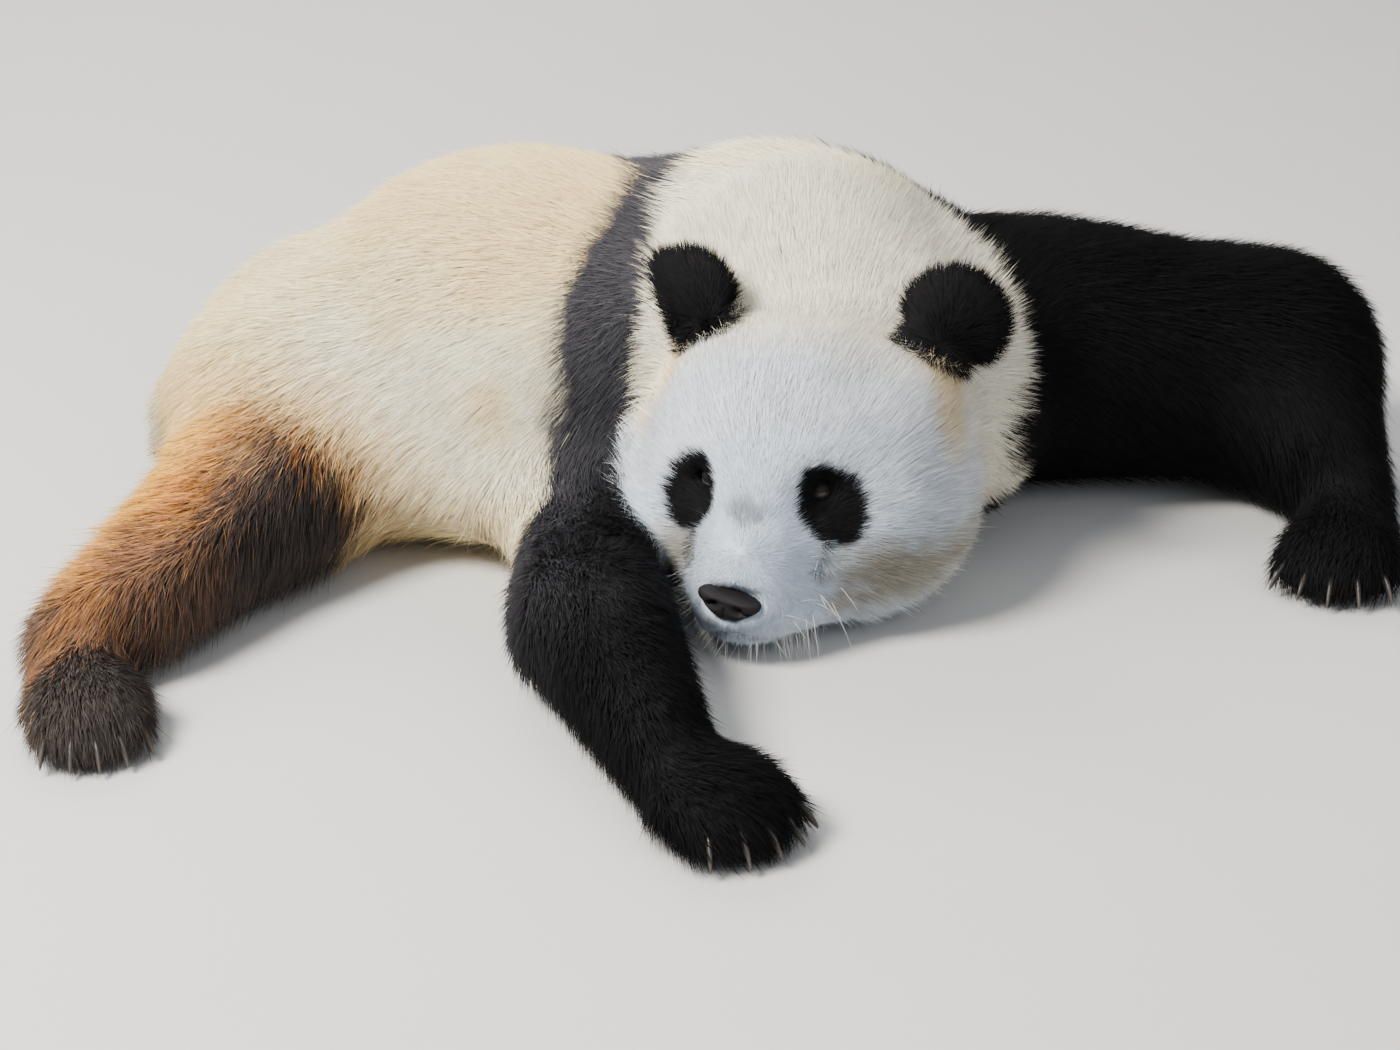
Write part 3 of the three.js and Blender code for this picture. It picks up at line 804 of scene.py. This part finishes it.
# finishes: two noise scales, strength and roughness of the breakup, then specular level, bump and its height
looks = {
    "fur": (700.0, 60.0, 0.30, 0.70, 0.09, 0, 0),
    "hide": (500.0, 40.0, 0.4, 0.85, 0.06, 0.6, 0.003),
    "nosePad": (1300.0, 150.0, 0.5, 0.55, 0.13, 0.7, 0.0008),
    "lid": (1500.0, 300.0, 0.4, 0.55, 0.14, 0.4, 0.0006),
    "eyeball": (900.0, 200.0, 0.3, 0.14, 0.6, 0, 0),
    "horn": (800.0, 60.0, 0.6, 0.38, 0.5, 0.3, 0.0005),
    "whisker": (400.0, 60.0, 0.2, 0.5, 0.5, 0, 0),
    "floorPaint": (60.0, 4.0, 0.04, 0.8, 0.5, 0, 0),
}


def coloured(name, colour, extra=None):
    # a Principled material: a colour, or the attribute of that name, times the breakup's shade
    *grain, specular, bump, bumpHeight = looks[name]
    material = bpy.data.materials.new(name)
    material.use_nodes = True
    tree = material.node_tree
    shader = tree.nodes["Principled BSDF"]
    detail = nodeOf(tree, "ShaderNodeGroup", node_tree=breakup)
    feed(tree, detail, dict(zip(breakupInputs, grain)))
    if isinstance(colour, str):
        colour = nodeOf(tree, "ShaderNodeAttribute", attribute_name=colour).outputs["Color"]
    inputs = {0: colour, "Scale": detail.outputs["Shade"]}
    tone = nodeOf(tree, "ShaderNodeVectorMath", inputs, operation="SCALE")
    feed(tree, shader, {"Base Color": tone.outputs[0], "Roughness": detail.outputs["Rough"]})
    feed(tree, shader, {"Specular IOR Level": specular, **(extra or {})})
    if bump:
        inputs = {"Strength": bump, "Distance": bumpHeight, "Height": detail.outputs["Height"]}
        raised = nodeOf(tree, "ShaderNodeBump", inputs)
        feed(tree, shader, {"Normal": raised.outputs["Normal"]})
    return material


furMaterial = coloured("fur", "furTint")
hideMaterial = coloured("hide", "furTint")
lidMaterial = coloured("lid", "lidTint")
hornMaterial = coloured("horn", "clawTint")
eyeMaterial = coloured("eyeball", "eyeTint", {"Coat Weight": 1.0, "Coat Roughness": 0.03})
noseMaterial = coloured("nosePad", (0.0095, 0.0085, 0.0095))
whiskerMaterial = coloured("whisker", (0.66, 0.65, 0.62))
print("materials ready")

skinPoints, skinTriangles = shapeSkin()
skinNormals = vertexNormals(skinPoints, skinTriangles)
skin = newObject("skin", skinPoints, skinTriangles, hideMaterial)
paintVertices(skin.data, "furTint", coatColour(whereOn(skinPoints)))
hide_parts(*fleshNodes)
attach(skin, "root")
print("skin:", len(skinTriangles), "triangles")


def unwrapped(piece):
    # the skin's own unwrap: islands by the way its faces turn, laid out in the unit square
    bpy.ops.object.select_all(action="DESELECT")
    bpy.context.view_layer.objects.active = piece
    piece.select_set(True)
    bpy.ops.object.mode_set(mode="EDIT")
    bpy.ops.mesh.select_all(action="SELECT")
    bpy.ops.uv.smart_project(angle_limit=math.radians(66), island_margin=0.004)
    bpy.ops.object.mode_set(mode="OBJECT")
    layer = np.empty(len(piece.data.loops) * 2, np.float32)
    piece.data.uv_layers.active.data.foreach_get("uv", layer)
    return layer.reshape(-1, 3, 2)


# the coat's pieces: tufts, slot, and for a limb its bones and its reach in their radii
coatPieces = {
    "coat_face": (48000, "white_coat"),
    "coat_crown": (38000, "white_coat"),
    "coat_ears": (14000, "black_coat"),
    "coat_neck": (46000, "cream_coat"),
    "coat_shoulders": (31000, "black_coat"),
    "coat_back": (48000, "cream_coat"),
    "coat_rump": (41000, "tan_coat"),
    "coat_arm_right": (30000, "black_coat", "armRight", 1.35),
    "coat_arm_left": (30000, "black_coat", "armLeft", 1.35),
    "coat_leg_right": (34000, "rust_coat", "legRight", 1.4),
    "coat_leg_left": (14000, "black_coat", "legLeft", 1.4),
}
tuft = {
    "width": 0.62,
    "widthGrowth": 0.018,  # mm wider for each mm of length
    "lengthSpread": 0.22,
    "standSpread": 5.5,
    "standRange": (7, 62),
    "waveTurn": 9.0,
    "strandTurn": 10.0,
    "looseTurn": 6.0,
    "colourSpread": 4.0,  # mm off its root where a tuft takes its colour
    "legColourSpread": 14.0,
    "shadeSpread": 0.115,
    "softness": 0.6,
    "strayShare": 0.04,
    "strayLength": 1.2,
    "strayStand": 10,
    "rootDepth": 0.0012,
    "floorGap": 0.0012,
    "patch": 0.0015,  # size of a tuft's place in the skin's unwrap
    "baldEye": 14.5,  # no tufts grow so near an eye's centre, in mm
    "baldNose": ((222, 0, -66), (22, 34, 17)),  # or in this egg
}


def pieceOf(w):
    # the number in coatPieces for each place; later rules go over earlier ones
    names = list(coatPieces)
    x = w["q"][:, 0]
    number = np.full(len(x), names.index("coat_shoulders"))
    number[x < -150] = names.index("coat_back")
    number[x < -345] = names.index("coat_rump")
    for k, (_, _, *limb) in enumerate(coatPieces.values()):
        if limb:
            near, place, _ = w[limb[0]]
            number[(near < limb[1]) & (near < w["spine"][0] * 1.15) & (place > 0.2)] = k
    number[w["neck"] > 0.5] = names.index("coat_neck")
    number[w["head"] > 0.5] = names.index("coat_crown")
    number[(w["head"] > 0.5) & (w["fromNose"] < 205)] = names.index("coat_face")
    number[w["ear"] > 0.5] = names.index("coat_ears")
    return number


def rotated(v, axis, angle):
    # v turned about axis by angle, row by row
    c, s = np.cos(angle)[:, None], np.sin(angle)[:, None]
    return v * c + np.cross(axis, v) * s + axis * dot(axis, v)[:, None] * (1 - c)


def growTufts(name, index, cornerUvs, density):
    # tufts on one part of the skin: a three-sided needle from each root, leaning along the comb
    count, slot = coatPieces[name][:2]
    rng = np.random.default_rng(100 + index)
    a, b, c = (skinPoints[skinTriangles[:, k]] for k in range(3))
    total = np.cumsum(lengthOf(np.cross(b - a, c - a)) / 2 * density)
    picked = np.searchsorted(total, (np.arange(count) + rng.random(count)) / count * total[-1])
    picked = np.minimum(picked, len(total) - 1)
    r, t = np.sqrt(rng.random(count)), rng.random(count)
    share = np.stack([1 - r, r * (1 - t), r * t], axis=1)
    corners = skinTriangles[picked]
    around = (skinPoints[corners], skinNormals[corners], cornerUvs[picked])
    roots, normals, rootUv = (np.einsum("ij,ijk->ik", share, values) for values in around)
    normals = unit(normals)
    w = whereOn(roots)
    q = w["q"]

    turn = tuft["waveTurn"] * noise(q, 34, 11) + tuft["strandTurn"] * noise(q, 8, 12)
    turn = turn + tuft["looseTurn"] * rng.normal(size=count)
    lay = rotated(combAt(w, normals), normals, np.radians(turn))
    length, stand = coatAt(w).T
    spread = tuft["lengthSpread"] * (1 + 0.6 * ease(w["limb"], 1.6, 1.1))
    length = length * (1 + spread * rng.uniform(-1, 1, count)) * (1 + 0.1 * noise(q, 12, 13))
    stand = stand + tuft["standSpread"] * (rng.uniform(-1, 1, count) + 0.8 * noise(q, 14, 14))
    stray = rng.random(count) < tuft["strayShare"]
    length = np.where(stray, length * tuft["strayLength"], length)
    stand = np.radians(np.clip(stand + tuft["strayStand"] * stray, *tuft["standRange"]))
    direction = lay * np.cos(stand)[:, None] + normals * np.sin(stand)[:, None]
    width = (tuft["width"] + tuft["widthGrowth"] * length) * rng.uniform(0.75, 1.25, count) / 1000

    up = unit(normals - direction * dot(normals, direction)[:, None])
    side = np.cross(up, direction)
    half = width[:, None] / 2
    base = roots - normals * tuft["rootDepth"]
    tip = roots + direction * length[:, None] / 1000
    points = np.stack([base + side * half, base + up * half, base - side * half, tip], axis=1)
    points[:, :, 2] = np.maximum(points[:, :, 2], tuft["floorGap"])
    triangles = np.array([[0, 1, 3], [1, 2, 3], [2, 0, 3], [0, 2, 1]])
    faces = (np.arange(count)[:, None, None] * 4 + triangles).reshape(-1, 3)
    made = newObject(name, points.reshape(-1, 3), faces, furMaterial)
    # shading normals lean towards the skin's, for one soft form
    own = np.stack([side, up, -side, direction], axis=1) * (1 - tuft["softness"])
    soft = unit(own + normals[:, None, :] * tuft["softness"])
    made.data.normals_split_custom_set_from_vertices(soft.reshape(-1, 3))

    # colour from a place a little off the root, so that neighbouring colours interleave
    onLeg = ease(np.minimum(w["legRight"][0], w["legLeft"][0]), 2.2, 1.4)
    spread = tuft["colourSpread"] + (tuft["legColourSpread"] - tuft["colourSpread"]) * onLeg
    spread = spread * (1 - 0.7 * np.maximum(w["head"], w["ear"]))
    colour = coatColour(whereOn(fromPose(q + rng.normal(size=(count, 3)) * spread[:, None])))
    # dark hairs differ more from one another than pale ones
    spread = tuft["shadeSpread"] + 0.2 * ease(colour.max(axis=1), 0.4, 0.02) + 0.12 * onLeg
    shade = 1 + spread * rng.normal(size=count)
    shade = shade + (0.08 + 0.1 * onLeg) * noise(q, 5, 15) + 0.05 * noise(q, 22, 16)
    colour = np.clip(colour * np.clip(shade, 0.5, 1.6)[:, None], 0, 0.9)
    paintVertices(made.data, "furTint", np.repeat(colour, 4, axis=0))
    around = np.radians([90, 210, 330])
    patch = np.vstack([np.stack([np.cos(around), np.sin(around)], axis=1) * tuft["patch"], [[0, 0]]])
    uvs = (rootUv[:, None, :] + patch)[:, triangles.ravel()].reshape(-1, 2)
    made.data.uv_layers.new(name="OFBake").data.foreach_set("uv", uvs.astype(np.float32).ravel())
    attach(made, "root")
    return count * 4


def growCoat():
    # tufts by area: few below, more on the muzzle and the paws, none on the lids or under the nose
    cornerUvs = unwrapped(skin)
    print("skin unwrapped")
    middles = skinPoints[skinTriangles].mean(axis=1)
    w = whereOn(middles)
    number = pieceOf(w)
    normals = unit(skinNormals[skinTriangles].mean(axis=1))
    density = np.where((normals[:, 2] < -0.35) & (middles[:, 2] < 0.035), 0.08, 1.0)
    density = density * (1 + 1.6 * w["head"] * ease(w["fromNose"], 150, 60)) * (1 + 0.6 * w["paw"])
    for side in (1, -1):
        density = density * (lengthOf(w["h"] * (1, side, 1) - pose["eye"]) > tuft["baldEye"])
    density = density * (eggMeasure(w["h"], *tuft["baldNose"]) > 1)
    total = sum(growTufts(name, k, cornerUvs, density * (number == k)) for k, name in enumerate(coatPieces))
    print("coat:", total, "triangles")


growCoat()


def onEye(side, radius, turn, height):
    # places on a sphere round an eye, from angles like longitude and latitude
    axis = unit(mirrored(eyes["axis"], side))
    across = unit(np.cross([0, 0, 1.0], axis)) * side
    up = np.cross(axis, across) * side
    turn, height = np.radians(turn)[..., None], np.radians(height)[..., None]
    ball = np.cos(height) * (np.cos(turn) * axis + np.sin(turn) * across) + np.sin(height) * up
    centre = mirrored(pose["eye"], side)
    return fromPose(fromHead(centre + ball * np.asarray(radius)[..., None]))


def makeEye(name, side):
    # the ball: rings from the pupil round to the back
    steps = 40
    polar = np.radians(np.linspace(1.5, 178.5, steps))[:, None]
    around = np.linspace(0, 2 * math.pi, steps, endpoint=False)[None, :]
    height = np.degrees(np.arcsin(np.sin(polar) * np.sin(around)))
    turn = np.degrees(np.arctan2(np.sin(polar) * np.cos(around), np.cos(polar) + 0 * around))
    ball = newLofts("ball_" + name, onEye(side, eyes["radius"] + 0 * turn, turn, height)[None], eyeMaterial)
    angle = np.repeat(np.degrees(polar), steps, axis=1).ravel()
    tint = mix(eyeTints["pupil"], eyeTints["iris"], ease(angle, 14, 20))
    paintVertices(ball.data, "eyeTint", mix(tint, eyeTints["white"], ease(angle, 38, 44)))
    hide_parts("eye_" + name)
    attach(ball, "root")

    # two lids: curved shells from the slit to the brow and to the cheek
    turn = np.linspace(-eyes["lidTurn"], eyes["lidTurn"], 44)[:, None]
    gap = np.clip(1 - (turn / 50) ** 2, 0, 1)
    line = eyes["slitHeight"] + eyes["slitTilt"] * turn / 60
    outside, inside = np.linspace(0, 1, 16), np.linspace(1, 0, 8)
    share = np.concatenate([outside, inside])[None, :]
    isOut = (np.arange(24) < 16)[None, :]
    rings = []
    for way, wide in ((1, 1.0), (-1, 0.5)):
        edge = line + way * (eyes["opening"] * wide * gap + 0.4)
        height = edge + (way * eyes["lidHeight"] - edge) * share
        fold = 0.7 * np.exp(-((np.abs(height - edge) - 24) / 7) ** 2) * (1 if way > 0 else 0.5)
        rim = eyes["lidOut"] - 0.9 * np.exp(-(share / 0.05) ** 2) + fold
        radius = np.where(isOut, rim, eyes["lidIn"]) + 0 * turn
        rings.append(onEye(side, radius, turn + 0 * share, height))
    lids = newLofts("lids_" + name, np.array(rings), lidMaterial)
    margin = np.exp(-(np.tile(share, (len(turn) * 2, 1)) / 0.07) ** 2).ravel()
    paintVertices(lids.data, "lidTint", mix(eyeTints["lid"], eyeTints["lidEdge"], margin))
    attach(lids, "root")


nosePad = {
    "halfWidth": 35.0,
    "top": 7.5,
    "bottom": 18.5,
    "front": 11.0,
    "back": 17.0,
    "lean": 0.34,
    "roll": -12.0,
    "offset": (3, 0, 2),
    "nostril": 14.5,  # mm from the middle
    "nostrilDepth": 8.5,
    "slitDepth": 4.5,
    "grooveDepth": 2.2,
    "ridge": 1.2,
}


def makeNose():
    # rings from the front to the rim and into the muzzle: flat above, narrow and round below
    swing = np.linspace(0.03, 0.97, 72)[:, None] * math.pi
    around = np.linspace(0, 2 * math.pi, 120, endpoint=False)[None, :]
    c, t = np.cos(around), np.sin(around)
    reach = np.sin(swing) ** 0.75
    z = np.where(t > 0, nosePad["top"] * np.abs(t) ** 0.55, -nosePad["bottom"] * np.abs(t) ** 1.1) * reach
    narrow = 1 - 0.40 * np.clip(-z / nosePad["bottom"], 0, 1) ** 1.5
    y = nosePad["halfWidth"] * np.sign(c) * np.abs(c) ** 0.75 * reach * narrow
    x = np.where(np.cos(swing) > 0, nosePad["front"], nosePad["back"]) * np.cos(swing) - nosePad["lean"] * z
    # two comma nostrils and the groove between them
    off = np.abs(y) - nosePad["nostril"]
    hole = nosePad["nostrilDepth"] * np.exp(-(off / 5.2) ** 2 - ((z + 5.5 + 0.25 * off) / 3.6) ** 2)
    slit = np.exp(-((z + 8.5 - 0.12 * off) / 1.8) ** 2) * ease(off, 0, 5) * ease(off, 17, 11)
    groove = nosePad["grooveDepth"] * np.exp(-(y / 1.4) ** 2) * ease(z, -2, -8)
    ridge = nosePad["ridge"] * np.exp(-(off / 8) ** 2 - ((z - 2.5) / 3.5) ** 2)
    dip = np.maximum(hole, nosePad["slitDepth"] * slit) + groove - ridge
    x = x - dip * ease(np.cos(swing), -0.05, 0.35)
    h = np.stack([x, y, z + 0 * x], axis=-1) @ turnOf(0, 0, nosePad["roll"]).T
    h = h + pose["nose"] + nosePad["offset"]
    pad = newLofts("nose_pad", fromPose(fromHead(h))[None], noseMaterial)
    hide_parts("nose")
    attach(pad, "root")


claws = {
    "length": 27.0,
    "drop": 24.0,
    "radius": 5.4,
    "flat": 0.68,
    "fore": {"length": 165.0, "width": 152.0, "toeRadius": 25.0, "fan": 17.0},
    "hind": {"length": 178.0, "width": 134.0, "toeRadius": 23.0, "fan": 13.0},
    "paws": {
        "fore_right": ("armRight", -50.0),
        "fore_left": ("armLeft", -108.0),
        "hind_right": ("legRight", -74.0),
        "hind_left": ("legLeft", 98.0),
    },
    "rootTint": (0.016, 0.013, 0.012),
    "tipTint": (0.060, 0.049, 0.040),
    "rings": 20,
    "sides": 14,
}


def makeClaws(paw):
    # five claws: each path leaves its toe, bends down by a power of the way and thins to a blunt tip
    kind = claws[paw[:4]]
    bone, yaw = claws["paws"][paw]
    n = np.arange(5) - 2.0
    angle = np.radians(n * kind["fan"])
    reach = kind["length"] - kind["toeRadius"] * 0.8 - 5 * n * n
    spread = n * (kind["width"] - 2 * kind["toeRadius"]) / 4
    t = np.linspace(-0.25, 1, claws["rings"])[None, :]
    far = claws["length"] * t
    x = reach[:, None] + np.cos(angle)[:, None] * far
    y = spread[:, None] + np.sin(angle)[:, None] * far
    z = kind["toeRadius"] + 9 - claws["drop"] * np.clip(t, 0, 1) ** 1.8 + 0 * x
    wrist = np.array(bones[bone]["joints"][2], float) * (1, 1, 0)
    paths = np.stack([x, y, z], axis=-1) @ turnOf(yaw, 0, 0).T + wrist
    radii = np.tile(claws["radius"] * np.sqrt(np.clip(1 - np.clip(t, 0, 1) ** 1.6, 0.006, 1)), (5, 1))
    rings = tubeRings(paths, radii, (0, 0, 1.0), claws["sides"], claws["flat"])
    made = newLofts("claws_" + paw, fromPose(rings), hornMaterial)
    tint = mix(claws["rootTint"], claws["tipTint"], np.clip(t[0], 0, 1) ** 1.2)
    paintVertices(made.data, "clawTint", np.tile(np.repeat(tint, claws["sides"], axis=0), (5, 1)))
    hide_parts(*[f"claw_{paw}_{k}" for k in range(1, 6)])
    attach(made, "root")


# each group of whiskers: how many, least and most length, lean and sag
whiskers = {
    "right": (34, (30.0, 66.0), (0.95, 0.0, 0.1), 0.24),
    "left": (12, (30.0, 66.0), (0.3, 0.0, -0.1), 0.24),
    "chin": (260, (10.0, 36.0), (0.55, 0.0, -0.45), 0.12),
}
whiskerRadius = 0.3


def makeWhiskers():
    # long hairs rooted on the lips and the chin: straight out, then bent down by their own weight
    rng = np.random.default_rng(7)
    h = toHead(toPose(skinPoints))
    facing = toHead(toPose(skinPoints + skinNormals * 0.001)) - h
    hx, hy, hz = h.T
    onLips = (hx > 138) & (hx < 208) & (hz > -104) & (hz < -70) & (np.abs(hy) > 36)
    onLips = onLips & (np.abs(facing[:, 1]) > 0.4)
    onChin = (hx > 95) & (np.abs(hy) < 62) & (hz < -106) & (facing[:, 0] > -0.2)
    places = {"right": onLips & (hy < 0), "left": onLips & (hy > 0), "chin": onChin}
    chosen = {name: rng.choice(np.flatnonzero(places[name]), whiskers[name][0]) for name in whiskers}
    t = np.linspace(0, 1, 8)[None, :, None]
    paths, radii = [], []
    for name, (count, (least, most), lean, sag) in whiskers.items():
        roots = chosen[name]
        way = unit(facing[roots] + np.array(lean) + rng.normal(size=(count, 3)) * 0.3)
        length = rng.uniform(least, most, count)[:, None, None]
        path = h[roots][:, None, :] + length * (way[:, None, :] * t + np.array([0, 0, -1.0]) * sag * t * t)
        paths.append(fromPose(fromHead(path)))
        thin = np.tile(whiskerRadius * (1.08 - t[0, :, 0]) / 1000, (count, 1))
        radii.append(thin * rng.uniform(0.7, 1.1, (count, 1)))
    paths = np.vstack(paths)
    paths[:, :, 2] = np.maximum(paths[:, :, 2], 0.0018)
    rings = tubeRings(paths, np.vstack(radii), (0.1, 0.2, 1.0), 3)
    made = newLofts("whiskers", rings, whiskerMaterial)
    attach(made, "root")


makeEye("left", 1)
makeEye("right", -1)
makeNose()
for paw in claws["paws"]:
    makeClaws(paw)
makeWhiskers()
print("eyes, nose, claws and whiskers made")

stage = {
    "floorColour": (0.56, 0.555, 0.545),
    "floorSize": 14.0,
    "skyColour": (0.93, 0.95, 1.0, 1),
    "skyStrength": 0.55,
    "aim": (0, 420, 150.0),
}
view = {"target": (0, 0, 200), "distance": 3300.0, "elevation": 24.0, "fieldWidth": 1390.0, "sensor": 36}
lamps = {
    "key": {"place": (-2.4, -1.7, 3.4), "size": 1.7, "power": 530.0, "colour": (1.0, 0.96, 0.89)},
    "fill": {"place": (2.6, -3.0, 2.4), "size": 3.4, "power": 55.0, "colour": (0.90, 0.95, 1.0)},
    "rim": {"place": (-1.2, 3.2, 3.0), "size": 2.4, "power": 130.0, "colour": (1.0, 0.98, 0.95)},
}


def makeStage():
    # a square floor, an even sky and round lamps that face the animal
    half = stage["floorSize"] / 2
    corners = [(-half, -half, 0), (half, -half, 0), (half, half, 0), (-half, half, 0)]
    paint = coloured("floorPaint", stage["floorColour"])
    floor = newObject("floor", np.array(corners), np.array([[0, 1, 2, 3]]), paint)
    world = bpy.data.worlds.new("studio")
    world.use_nodes = True
    sky = world.node_tree.nodes["Background"].inputs
    sky["Color"].default_value = stage["skyColour"]
    sky["Strength"].default_value = stage["skyStrength"]
    bpy.context.scene.world = world
    middle = fromPose(np.array(stage["aim"]))
    for name, lamp in lamps.items():
        light = bpy.data.lights.new(name, "AREA")
        light.shape = "DISK"
        light.size = lamp["size"]
        light.energy = lamp["power"]
        light.color = lamp["colour"]
        holder = bpy.data.objects.new(name, light)
        holder.location = lamp["place"]
        away = holder.location - type(holder.location)(middle)
        holder.rotation_euler = away.to_track_quat("Z", "Y").to_euler()
        bpy.context.scene.collection.objects.link(holder)


def makeCamera():
    # looks along +Y and down; the lens follows from the field's width at the target
    camera = bpy.data.objects.new("camera", bpy.data.cameras.new("camera"))
    tilt = math.radians(view["elevation"])
    back = np.array([0, -math.cos(tilt), math.sin(tilt)]) * view["distance"] / 1000
    camera.location = fromPose(np.array(view["target"], float)) + back
    camera.rotation_euler = (math.pi / 2 - tilt, 0, 0)
    camera.data.lens = view["sensor"] * view["distance"] / view["fieldWidth"]
    camera.data.sensor_width = view["sensor"]
    bpy.context.scene.collection.objects.link(camera)
    bpy.context.scene.camera = camera


makeStage()
makeCamera()
print("stage ready")
